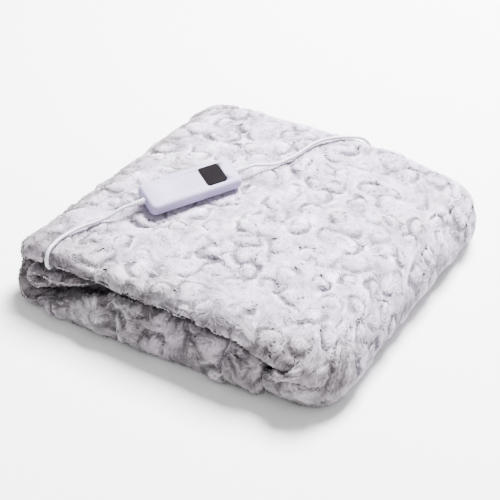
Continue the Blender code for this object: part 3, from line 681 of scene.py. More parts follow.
# --- controller
@dataclass(frozen=True)
class Controller:
    """Hand controller: a two-part case, its window, its printed mark and its strain reliefs."""

    length: float = 0.13
    width: float = 0.0455
    height: float = 0.0175
    split: float = 0.0078
    seam_gap: float = 0.0001
    corner: float = 0.0075
    foot_edge: float = 0.0052
    top_edge: float = 0.005
    crown: float = 0.001
    crown_reach: float = 0.0125
    seam: float = 0.00045
    x: float = -0.0683
    y: float = -0.029
    turn: float = radians(63.5)
    roll: float = radians(18.0)
    sink: float = 0.004
    seat_gap: float = 0.0012
    seat_near: float = 0.03
    seat_far: float = 0.055
    seat_ends: float = 0.04
    flattens_out_to: float = 0.014
    flattens_over: float = 0.018
    flattens_within: float = 0.02
    lock_margin: float = 0.0006
    axis_height: float = 0.009
    window_length: float = 0.0295
    window_width: float = 0.0305
    window_along: float = 0.0305
    window_corner: float = 0.0045
    window_edge: float = 0.0007
    window_proud: float = 0.00035
    window_deep: float = 0.0012
    window_gap: float = 0.0002
    relief_length: float = 0.02
    relief_wide: float = 0.0042
    relief_narrow: float = 0.0028
    relief_ribs: int = 5
    rib: tuple[Row, ...] = (
        (0.3, 0.0), (0.42, 0.0003), (0.5, 0.0006), (0.88, 0.0006), (0.95, 0.0003), (1.0, 0.0)
    )
    mark_thick: float = 0.00006
    mark_sunk: float = 0.00002
    mark_along: float = -0.0085
    mark_radius: float = 0.0042
    mark_line: float = 0.00055
    mark_opening: float = radians(38)
    mark_bar: Row = (1.12, 0.15)

    def place(self) -> Matrix:
        """Place of the case: it lies tilted in the plush, its right long edge lowest.

        Returns:
            The matrix of the case's own frame.
        """
        tilt = Matrix.Rotation(self.turn, 4, "Z") @ Matrix.Rotation(self.roll, 4, "X")
        low_edge = shifted(self.x, self.y, STACK_Z - self.sink)
        return low_edge @ tilt @ Matrix.Translation((0.0, self.width / 2, 0.0))

    def way(self, end: int) -> Vector:
        """Direction in which a lead leaves; end is -1 for the left end and 1 for the right."""
        return Vector((cos(self.turn), sin(self.turn), 0.0)) * end

    def tip(self, end: int) -> Vector:
        """Middle of the face where a lead leaves its strain relief."""
        reach = self.length / 2 + self.relief_length + 2 * CLEAR
        return self.place() @ Vector((0.0, 0.0, self.axis_height)) + self.way(end) * reach

    def seat_lift(self, x: float, y: float) -> float:
        """How far the cloth under the case is dented, or raised to its slope.

        Args:
            x, y: Where, before the part's shift.

        Returns:
            The lift, below 0 in the dent.
        """
        to_x, to_y = cos(self.turn), sin(self.turn)
        along = (x - self.x) * to_x + (y - self.y) * to_y
        across = (y - self.y) * to_x - (x - self.x) * to_y
        wide = self.width * cos(self.roll)
        slope = min(max(across, 0.0), wide) * tan(self.roll) - self.sink - self.seat_gap
        past_near = ease(-across / self.seat_near)
        past_far = ease((across - wide) / self.seat_far)
        past_end = ease((abs(along) - self.length / 2) / self.seat_ends)
        return slope * (1.0 - past_near) * (1.0 - past_far) * (1.0 - past_end)

    def local(self, points: Array) -> Array:
        """Points in the case's own frame."""
        back = np.array(self.place().inverted())
        return points @ back[:3, :3].T + back[:3, 3]

    def covers(self, points: Array) -> Array:
        """How fully the case presses on the plush.

        Args:
            points: Points of the cloth.

        Returns:
            0 away from the case to 1 under it.
        """
        x, y, z = np.moveaxis(np.abs(self.local(points)), -1, 0)
        inside = np.minimum(self.length / 2 - x, self.width / 2 - y)
        pressed = smoothstep((inside + self.flattens_out_to) / self.flattens_over)
        return pressed * (z < self.flattens_within)

    def pierced(self, points: Array) -> Array:
        """Which points lie inside the case.

        Args:
            points: Points in the part's frame.

        Returns:
            True for each point inside.
        """
        near = np.abs(self.local(points) - (0.0, 0.0, self.height / 2))
        sides = (self.length / 2 - self.lock_margin, self.width / 2 - self.lock_margin)
        return np.all(near < (*sides, self.height / 2), axis=-1)

    def make_case(self) -> None:
        """Build both shells, with a fine seam between them and a pocket for the window."""
        top = self.height - self.crown
        low = edge_rows(0.0, self.split, self.foot_edge, self.seam)
        high = edge_rows(self.split + self.seam_gap, top, self.seam, self.top_edge)
        for k in range(1, 9):
            rise = self.crown * sin(pi / 2 * k / 8)
            high.append((self.top_edge + self.crown_reach * k / 8, top + rise))
        halves = (("case_lower", low, "controller_base"), ("case_upper", high, "controller_top"))
        for name, rows, node in halves:
            rings = box_rings(self.length, self.width, self.corner, rows)
            shell = add_object(lofted(name, rings, self.place()), CASE_WHITE, node)
        self.cut_pocket(shell)

    def window_mesh(self, name: str, rows: Sequence[Row]) -> Mesh:
        """Make a rounded block at the window's place from its rows."""
        rings = box_rings(self.window_length, self.window_width, self.window_corner, rows)
        return lofted(name, rings, self.place() @ Matrix.Translation((self.window_along, 0.0, 0.0)))

    def cut_pocket(self, shell: Piece) -> None:
        """Cut the window's pocket out of the upper shell.

        Args:
            shell: The upper shell.
        """
        above = self.height + self.top_edge
        rows = [(-self.window_gap, self.height - self.window_deep), (-self.window_gap, above)]
        cutter = bpy.data.objects.new("pocket_cutter", self.window_mesh("pocket_cutter", rows))
        link(cutter)
        cut = shell.modifiers.new("pocket", "BOOLEAN")
        cut.operation = "DIFFERENCE"
        cut.solver = "EXACT"
        cut.object = cutter
        bpy.context.view_layer.update()
        shown = shell.evaluated_get(bpy.context.evaluated_depsgraph_get())
        result = bpy.data.meshes.new_from_object(shown)
        material = shell.data.materials[0]
        shell.modifiers.clear()
        shell.data = result
        shell.data.materials.clear()
        shell.data.materials.append(material)
        bpy.data.objects.remove(cutter, do_unlink=True)

    def make_window(self) -> None:
        """Build the glossy window with its rounded glass edge."""
        low = self.height - self.window_deep + self.window_gap
        high = self.height + self.window_proud
        rows = edge_rows(low, high, self.window_gap, self.window_edge, 5)
        add_object(self.window_mesh("window_glass", rows), WINDOW_BLACK, "display_window")

    def make_mark(self) -> None:
        """Print the usual power sign, an open ring with a bar, on the case's top."""
        closed_part = 2 * (pi - self.mark_opening)
        arc = [self.mark_opening + closed_part * k / 30 for k in range(31)]
        strokes = [
            [(self.mark_radius * sin(a), self.mark_radius * cos(a)) for a in arc],
            [(0.0, self.mark_radius * share) for share in self.mark_bar],
        ]
        place = self.place()
        verts: list[Vector] = []
        faces: list[list[int]] = []
        for stroke in strokes:
            line = np.array(stroke)
            along = unit(np.gradient(line, axis=0))
            side = np.stack([-along[:, 1], along[:, 0]], axis=1) * self.mark_line / 2
            start = len(verts)
            for spot, out in zip(line, side):
                for sign_side, level in ((-1, 0), (1, 0), (1, 1), (-1, 1)):
                    px, py = spot + sign_side * out
                    z = self.height + level * self.mark_thick - self.mark_sunk
                    verts.append(place @ Vector((self.mark_along + py, -px, z)))
            final = start + 4 * (len(line) - 1)
            for first in range(start, final, 4):
                for c in range(4):
                    a, b = first + c, first + (c + 1) % 4
                    faces.append([a, b, b + 4, a + 4])
            faces += [[start + c for c in (3, 2, 1, 0)], [final + c for c in range(4)]]
        add_object(closed_mesh("power_mark", verts, faces), MARK_GREY)

    def make_relief(self, end: int, node: str) -> Piece:
        """Build one tapered, ribbed strain relief.

        Args:
            end: -1 for the left end, 1 for the right.
            node: The solid that it stands for.

        Returns:
            The piece.
        """
        end_row = (self.relief_length, self.relief_narrow)
        rows = ribbed([(0.0, self.relief_wide)], end_row, self.relief_ribs, self.rib)
        spin = Matrix.Rotation(0.0 if end > 0 else pi, 4, "Z")
        spot = Matrix.Translation((self.length / 2 + CLEAR, 0.0, self.axis_height))
        mesh = lofted(node + "_boot", turned_rings(rows), self.place() @ spin @ spot)
        return add_object(mesh, SHEATH_WHITE, node)


# --- leads
LEAD_DIAMETER = 0.0042
LEAD_RADIUS = LEAD_DIAMETER / 2
ON_TOP = STACK_Z + LEAD_RADIUS + 2 * CLEAR
ON_FLOOR = LEAD_RADIUS + CLEAR
LEAD_STRAIGHT = 0.008
# Middle of each lead: x, y and z.
CONTROL_ROUTE: tuple[Point, ...] = (
    (-0.1335, -0.1175, 0.093), (-0.1395, -0.1275, 0.0898), (-0.146, -0.139, 0.0886),
    (-0.1525, -0.153, ON_TOP), (-0.157, -0.17, ON_TOP), (-0.159, -0.187, ON_TOP),
    (-0.158, -0.196, 0.0887), (-0.157, -0.205, 0.0884), (-0.1558, -0.2112, 0.0871),
    (-0.1548, -0.2157, 0.0836), (-0.154, -0.2183, 0.0784), (-0.154, -0.2186, 0.0724),
    (-0.1547, -0.2162, 0.0669), (-0.156, -0.2118, 0.063), (-0.1585, -0.2056, 0.0611),
    (-0.162, -0.197, 0.0608), (-0.1655, -0.184, 0.0608), (-0.1675, -0.168, 0.0609),
    (-0.168, -0.148, 0.0609), (-0.167, -0.125, 0.0609),
)
MAINS_ROUTE: tuple[Point, ...] = (
    (-0.0335, 0.079, 0.093), (-0.029, 0.089, 0.0898), (-0.024, 0.101, 0.0886),
    (-0.0195, 0.115, ON_TOP), (-0.016, 0.13, ON_TOP), (-0.014, 0.148, ON_TOP),
    (-0.011, 0.167, ON_TOP), (-0.0035, 0.184, ON_TOP), (0.0085, 0.197, 0.0887),
    (0.0215, 0.208, 0.088), (0.0313, 0.2182, 0.0852), (0.0385, 0.2253, 0.0801),
    (0.043, 0.2281, 0.0727), (0.0465, 0.2297, 0.066), (0.049, 0.231, 0.057),
    (0.0505, 0.2325, 0.046), (0.052, 0.2342, 0.035), (0.0545, 0.236, 0.024),
    (0.059, 0.238, 0.0135), (0.0655, 0.2396, 0.006), (0.0735, 0.2407, 0.0028),
    (0.081, 0.2411, ON_FLOOR), (0.088, 0.2411, ON_FLOOR),
)
PLUG_ROUTE: tuple[Point, ...] = (
    (0.088, 0.3049, ON_FLOOR), (0.08, 0.3046, ON_FLOOR), (0.0715, 0.3022, 0.0027),
    (0.064, 0.2975, 0.0035), (0.0575, 0.291, 0.0048), (0.051, 0.2845, 0.006),
    (0.0445, 0.2795, 0.0067),
)


@dataclass(frozen=True)
class Coil:
    """The mains lead's spare length: turns beside and on each other, held by a soft tie."""

    x: float = 0.09
    y: float = 0.273
    across: int = 3
    high: int = 4
    mean_radius: float = 5.5 * LEAD_DIAMETER
    base: float = 0.0018
    per_turn: int = 24
    lead_in: float = radians(120)
    lead_out: float = radians(200)
    cross_over: float = 0.5
    outward_by: float = 0.35
    down_from: float = 0.15
    tie_turn: float = radians(150)
    tie_band: float = 0.006
    tie_thick: float = 0.0009
    tie_slack: float = 0.0006
    tie_edge: float = 0.00035

    def outer_radius(self) -> float:
        """Radius of the outermost turns."""
        return self.mean_radius + LEAD_DIAMETER * (self.across - 1) / 2

    def spot(self, radius: float, angle: float, z: float) -> Vector:
        """A point of the winding, before the part's shift."""
        return Vector((self.x + radius * cos(angle), self.y + radius * sin(angle), z))

    def bearing(self, point: Point) -> Row:
        """Radius and angle of a point seen from the coil's middle."""
        x, y = point[0] - self.x, point[1] - self.y
        return hypot(x, y), atan2(y, x)

    def column_row(self, index: int) -> tuple[int, int]:
        """Column from the outside, and row, of one turn; each row is wound back over the last."""
        row, column = divmod(min(index, self.across * self.high - 1), self.across)
        return (column if row % 2 == 0 else self.across - 1 - column), row

    def turn_place(self, turns: float) -> Row:
        """Radius and height after so many turns.

        Args:
            turns: Turns wound so far.

        Returns:
            Radius and height there.
        """
        whole = min(int(turns), self.across * self.high - 1)
        part = ease((turns - whole - 1 + self.cross_over) / self.cross_over)
        here, after = self.column_row(whole), self.column_row(whole + 1)
        column = here[0] + (after[0] - here[0]) * part
        row = here[1] + (after[1] - here[1]) * part
        height = self.base + LEAD_RADIUS + row * LEAD_DIAMETER
        return self.outer_radius() - column * LEAD_DIAMETER, height

    def route(self, start: Point, end: Point) -> list[Vector]:
        """The winding, from where the lead comes in to where it goes on.

        Args:
            start: Where the lead comes in.
            end: Where it goes on to the plug.

        Returns:
            The points between the two.
        """
        first_radius, first = self.bearing(start)
        last_radius, last = self.bearing(end)
        last += tau * self.across * self.high
        begin, finish = first + self.lead_in, last - self.lead_out
        step = tau / self.per_turn
        points = []
        radius, z = self.turn_place(0.0)
        for k in range(1, round(self.lead_in / step)):
            share = ease(k * step / self.lead_in)
            out = first_radius + (radius - first_radius) * share
            points.append(self.spot(out, first + k * step, start[2] + (z - start[2]) * share))
        count = round((finish - begin) / step)
        for k in range(count + 1):
            wound = (finish - begin) * k / count
            radius, z = self.turn_place(wound / (tau))
            points.append(self.spot(radius, begin + wound, z))
        for k in range(1, round(self.lead_out / step)):
            t = k * step / self.lead_out
            outward = ease(t / self.outward_by)
            down = ease((t - self.down_from) / (1.0 - self.down_from))
            out, up = radius + (last_radius - radius) * outward, z + (end[2] - z) * down
            points.append(self.spot(out, finish + k * step, up))
        return points

    def make_tie(self) -> Piece:
        """Build the soft band round the coil's turns.

        Returns:
            The piece.
        """
        wide, tall = self.across * LEAD_DIAMETER, self.high * LEAD_DIAMETER
        thick, half, edge = self.tie_thick, self.tie_band / 2, self.tie_edge
        section = ((0.0, -half), (thick - edge, -half), (thick, edge - half))
        section += ((thick, half - edge), (thick - edge, half), (0.0, half))
        outward = Matrix.Translation((self.mean_radius, 0.0, 0.0))
        spot = shifted(self.x, self.y, self.base + tall / 2)
        place = spot @ Matrix.Rotation(self.tie_turn, 4, "Z") @ outward
        verts: list[Vector] = []
        for height, side in section:
            off = self.tie_slack + height
            ring = rounded_ring(wide + 2 * off, tall + 2 * off, LEAD_RADIUS + off, 0.0, 8)
            verts += [place @ Vector((x, side, z)) for x, z, _ in ring]
        count = len(ring)
        faces = []
        for level in range(len(section)):
            low, high = level * count, (level + 1) % len(section) * count
            for k in range(count):
                after = (k + 1) % count
                faces.append([low + k, low + after, high + after, high + k])
        return add_object(closed_mesh("coil_band", verts, faces), BAND_BLACK, "coil_tie")


@dataclass(frozen=True)
class Leads:
    """The two leads: one into the fold, one to the plug with its spare length coiled."""

    spacing: float = 2.0 * LEAD_DIAMETER
    rounding: int = 3

    def make(self, name: str, points: Sequence[Vector], *nodes: str) -> tuple[Piece, float]:
        """Build one lead along a route.

        Args:
            name: The piece's name.
            points: Its middle, in the part's frame.
            nodes: The solids that it replaces.

        Returns:
            The piece and its length.
        """
        curve = bpy.data.curves.new(name, "CURVE")
        curve.dimensions = "3D"
        spline = curve.splines.new("POLY")
        spline.points.add(len(points) - 1)
        for place, point in zip(spline.points, points):
            place.co = (*point, 1.0)
        curve.bevel_depth = LEAD_RADIUS
        curve.bevel_resolution = self.rounding
        curve.use_fill_caps = True
        length = sum((b - a).length for a, b in zip(points, points[1:]))
        return add_object(curve, SHEATH_WHITE, *nodes), length

    def leaving(self, controller: Controller, end: int, route: Sequence[Point]) -> list[Vector]:
        """Route of a lead from one end of the controller.

        Args:
            controller: The controller.
            end: -1 for its left end, 1 for its right.
            route: Where the lead goes after a straight start, before the part's shift.

        Returns:
            The points of its middle.
        """
        start = controller.tip(end)
        straight = start + controller.way(end) * LEAD_STRAIGHT
        return even_route([start, straight, *(Vector(p) + SHIFT for p in route)], self.spacing)

    def mains_points(self, controller: Controller, coil: Coil, plug_end: Vector) -> list[Vector]:
        """Route of the mains lead through the coil to the plug.

        Args:
            controller: The controller that it leaves.
            coil: Its coiled length.
            plug_end: Where it enters the plug's boot, before the part's shift.

        Returns:
            The points of its middle.
        """
        seen = self.leaving(controller, 1, MAINS_ROUTE)
        wound = coil.route(MAINS_ROUTE[-1], PLUG_ROUTE[0])
        ending = [*PLUG_ROUTE, plug_end + Vector((LEAD_STRAIGHT, 0.0, 0.0)), plug_end]
        return seen + [p + SHIFT for p in wound + even_route(ending, self.spacing)]


# --- plug
@dataclass(frozen=True)
class Plug:
    """Two-pin mains plug that lies behind the stack."""

    length: float = 0.035
    width: float = 0.0353
    height: float = 0.0137
    edge: float = 0.0042
    corner: float = 0.006
    x: float = -0.0075
    y: float = 0.277
    pin_length: float = 0.019
    pin_radius: float = 0.002
    pin_pitch: float = 0.019
    pin_taper: float = 0.0014
    boot_length: float = 0.02
    boot_collar: tuple[Row, ...] = ((0.0, 0.005), (0.0015, 0.0052), (0.004, 0.005))
    boot_narrow: float = 0.0028
    boot_ribs: int = 5
    rib: tuple[Row, ...] = ((0.25, 0.0), (0.4, 0.0006), (0.8, 0.0006), (0.95, 0.0))
    grips: int = 4
    grip_depth: float = 0.0007
    grip_ends: float = 0.006
    grip_steps: int = 24

    def middle(self) -> float:
        """Height of the pins' and the lead's axis."""
        return self.height / 2

    def lead_end(self) -> Vector:
        """Where the lead enters the boot, before the part's shift."""
        reach = self.length / 2 + self.boot_length + 2 * CLEAR
        return Vector((self.x + reach, self.y, self.middle()))

    def gripped(self, ring: Sequence[Point]) -> list[Point]:
        """Cut the finger grips into the long sides of a ring.

        Args:
            ring: The plain ring.

        Returns:
            The finer ring.
        """
        points = []
        for a, b in zip(ring, [*ring[1:], ring[0]]):
            steps = self.grip_steps if abs(a[0] - b[0]) > self.length / 3 else 1
            for k in range(steps):
                x, y, z = (a[axis] + (b[axis] - a[axis]) * k / steps for axis in range(3))
                wave = 0.5 - 0.5 * cos(tau * self.grips * (x / self.length + 0.5))
                inside = ease((self.length / 2 - abs(x)) / self.grip_ends)
                points.append((x, y - copysign(self.grip_depth * wave * inside, y), z))
        return points

    def make_body(self) -> Piece:
        """Build the moulded body, ribbed on its sides for the fingers.

        Returns:
            The piece.
        """
        rows = edge_rows(CLEAR, self.height, self.edge, self.edge, 8)
        rings = [self.gripped(r) for r in box_rings(self.length, self.width, self.corner, rows, 8)]
        mesh = lofted("plug_case", rings, shifted(self.x, self.y, 0.0))
        return add_object(mesh, CASE_WHITE, "plug_body")

    def make_boot(self) -> Piece:
        """Build the tapered boot between the plug and its lead.

        Returns:
            The piece.
        """
        end = (self.boot_length, self.boot_narrow)
        rows = [*ribbed(self.boot_collar, end, self.boot_ribs, self.rib), end]
        place = shifted(self.x + self.length / 2 + CLEAR, self.y, self.middle())
        mesh = lofted("plug_boot", turned_rings(rows), place)
        return add_object(mesh, SHEATH_WHITE, "plug_relief")

    def make_pins(self) -> list[Piece]:
        """Build the two round pins with their tapered ends.

        Returns:
            The left and the right pin.
        """
        rows = [(0.0, self.pin_radius)]
        for angle in quarter_turn(6):
            along = self.pin_length - self.pin_taper * (1 - sin(angle))
            rows.append((along, self.pin_radius * (0.5 + 0.5 * cos(angle))))
        pins = []
        for node, side in (("plug_pin_left", -1), ("plug_pin_right", 1)):
            y = self.y + side * self.pin_pitch / 2
            spot = shifted(self.x - self.length / 2 - CLEAR, y, self.middle())
            place = spot @ Matrix.Rotation(pi, 4, "Z")
            mesh = lofted(node + "_metal", turned_rings(rows), place)
            pins.append(add_object(mesh, PIN_METAL, node))
        return pins


# --- cloth
@dataclass(frozen=True)
class Run:
    """A straight stretch of the strip's section, from one x and z to another."""

    name: str
    x_from: float
    x_to: float
    z_from: float
    z_to: float
    thick_from: float
    thick_to: float
    columns: int

    def at(self, t: float) -> Row:
        """X and z at a share of the stretch."""
        z = self.z_from + (self.z_to - self.z_from) * ease(t)
        return self.x_from + (self.x_to - self.x_from) * t, z


@dataclass(frozen=True)
class Turn:
    """A round stretch of the strip's section, in degrees about a centre."""

    name: str
    x: float
    z: float
    radius_x: float
    radius_z: float
    start: float
    stop: float
    thick_from: float
    thick_to: float
    columns: int

    def at(self, t: float) -> Row:
        """X and z at a share of the stretch."""
        angle = radians(self.start + (self.stop - self.start) * t)
        return self.x + self.radius_x * cos(angle), self.z + self.radius_z * sin(angle)


BOTTOM_Z, THIRD_Z, SECOND_Z, TOP_Z = 0.01, 0.03175, 0.0522, 0.0755
RIGHT_UPPER = Turn("right fold", 0.15, 0.031, 0.0645, 0.0345, 90, 0, 0.0195, 0.0185, 9)
RIGHT_LOWER = Turn("right fold", 0.1945, 0.031, 0.02, 0.0218, 0, -90, 0.0185, 0.017, 5)
OUTER_FOLD = Turn("outer fold", -0.179, 0.04275, 0.035, 0.03275, 270, 90, 0.02, 0.021, 11)
INNER_FOLD = Turn("inner fold", -0.181, 0.0395, 0.009, 0.009, 270, 90, 0.016, 0.016, 6)
STRIP: tuple[Run | Turn, ...] = (
    Run("bottom layer", 0.1345, -0.179, BOTTOM_Z, BOTTOM_Z, 0.02, 0.02, 32),
    OUTER_FOLD,
    Run("top layer", -0.179, 0.085, TOP_Z, TOP_Z, 0.021, 0.021, 23),
    Run("top layer", 0.085, 0.15, TOP_Z, 0.0655, 0.021, 0.0195, 6),
    RIGHT_UPPER,
    RIGHT_LOWER,
    Run("climb", 0.1945, 0.145, 0.0092, THIRD_Z, 0.017, 0.0175, 6),
    Run("third layer", 0.145, -0.12, THIRD_Z, THIRD_Z, 0.0175, 0.018, 9),
    Run("third layer", -0.12, -0.181, THIRD_Z, 0.0305, 0.018, 0.016, 4),
    INNER_FOLD,
    Run("second layer", -0.181, -0.12, 0.0485, SECOND_Z, 0.016, 0.0185, 4),
    Run("second layer", -0.12, 0.095, SECOND_Z, SECOND_Z, 0.0185, 0.0185, 8),
)
INSIDE = ("climb", "third layer", "inner fold", "second layer")
CLIMB_END_X = 0.145
CORNER_Y = -0.163
# Radius at which each layer's hems are curled.
CURL_RADIUS = {"bottom layer": 0.0125, "top layer": 0.024, "right fold": 0.022, "climb": 0.02}
PLAIN_CURL = 0.02
# Hems by layer: x along the hem, how far in it lies, and how far it is curled up or down.
FRONT_HEM: dict[str, tuple[Point, ...]] = {
    "bottom layer": (
        (-0.179, 0.0105, 0.0), (-0.16, 0.003, 0.011), (-0.12, 0.0, 0.029),
        (-0.085, 0.0, 0.042), (-0.045, 0.0035, 0.05), (0.08, 0.01, 0.05),
        (0.11, 0.0125, 0.043), (0.1345, 0.0135, 0.038),
    ),
    "top layer": (
        (-0.179, 0.016, -0.011), (-0.165, 0.017, -0.006), (-0.15, 0.018, -0.005),
        (-0.03, 0.019, -0.006), (0.08, 0.019, -0.006), (0.11, 0.019, -0.012),
        (0.15, 0.02, -0.0175),
    ),
    "third layer": (
        (-0.181, 0.02, 0.0), (-0.16, 0.032, 0.0), (-0.13, 0.054, 0.0), (0.1, 0.06, 0.0),
        (0.145, 0.064, 0.0),
    ),
    "inner fold": ((-0.19, 0.019, 0.0), (-0.181, 0.019, 0.0)),
    "second layer": (
        (-0.181, 0.019, 0.0), (-0.135, 0.019, 0.0), (-0.115, 0.027, 0.0), (-0.1, 0.039, 0.0),
        (-0.085, 0.047, 0.0), (-0.06, 0.052, 0.0), (0.095, 0.054, 0.0),
    ),
}
BACK_HEM: dict[str, tuple[Point, ...]] = {
    "bottom layer": ((-0.179, 0.004, 0.0), (0.0, 0.001, 0.0), (0.157, 0.006, 0.0)),
    "top layer": ((-0.179, 0.006, -0.012), (0.0, 0.003, -0.012), (0.15, 0.003, -0.017)),
    "climb": ((0.145, 0.03, 0.0), (0.16, 0.026, 0.0), (0.1945, 0.006, 0.024)),
    "third layer": ((-0.181, 0.008, 0.0), (0.145, 0.012, 0.0)),
    "inner fold": ((-0.19, 0.01, 0.0), (-0.181, 0.01, 0.0)),
    "second layer": ((-0.181, 0.01, 0.0), (0.095, 0.006, 0.0)),
}
# Turn of the right fold's section, the front seam's place there, the way in which the corner
# leaves it, and how far it is pulled that way and along the fold.
FRONT_CORNER = (
    (-180, 0.145, -0.171, 0.03175, 0.0, 1.0, 0.0, 0.002, 0.002),
    (-157, 0.157, -0.169, 0.0282, 0.0, 1.0, 0.0, 0.002, 0.002),
    (-135, 0.164, -0.17, 0.0205, 0.3, 0.95, 0.0, 0.002, 0.002),
    (-110, 0.152, -0.177, 0.012, 0.9, 0.4, 0.0, 0.02, 0.006),
    (-90, 0.1375, -0.19, 0.0092, 1.0, 0.0, 0.0, 0.049, 0.013),
    (-60, 0.1375, -0.2005, 0.012, 1.0, 0.0, 0.0, 0.054, 0.02),
    (-30, 0.1375, -0.2075, 0.019, 1.0, 0.0, 0.0, 0.058, 0.025),
    (0, 0.1375, -0.21, 0.029, 1.0, 0.0, 0.0, 0.06, 0.028),
    (15, 0.138, -0.21, 0.035, 1.0, 0.0, 0.06, 0.058, 0.028),
    (34, 0.141, -0.2095, 0.0405, 0.98, 0.0, 0.18, 0.053, 0.028),
    (46, 0.148, -0.209, 0.0435, 0.95, 0.0, 0.32, 0.043, 0.028),
    (56, 0.157, -0.208, 0.0447, 0.85, -0.05, 0.52, 0.03, 0.028),
    (66, 0.164, -0.207, 0.046, 0.5, -0.05, 0.85, 0.019, 0.029),
    (78, 0.159, -0.206, 0.047, 0.1, -0.05, 0.99, 0.016, 0.03),
    (90, 0.15, -0.2055, 0.048, 0.0, 0.0, 1.0, 0.015, 0.03),
)
# Upright gathers in the raised hem: x, lean, width and depth.
GATHERS = (
    (-0.108, 0.1, 0.01, 0.003), (-0.058, 0.5, 0.008, 0.011),
    (-0.018, 0.15, 0.009, 0.0045), (0.012, -0.1, 0.011, 0.0065),
    (0.042, 0.1, 0.007, 0.004), (0.087, 0.15, 0.012, 0.008),
)
# Soft hollows in the top layer: both ends' x and y, width and depth.
TROUGHS = (
    (0.05, 0.181, 0.112, 0.165, 0.02, 0.0055), (0.112, 0.165, 0.195, 0.123, 0.022, 0.0065),
    (-0.02, -0.155, 0.06, -0.12, 0.03, 0.003), (0.1, -0.065, 0.135, 0.025, 0.034, 0.0035),
    (-0.195, 0.075, -0.13, 0.115, 0.03, 0.003), (-0.1, -0.185, -0.06, -0.17, 0.022, 0.003),
)


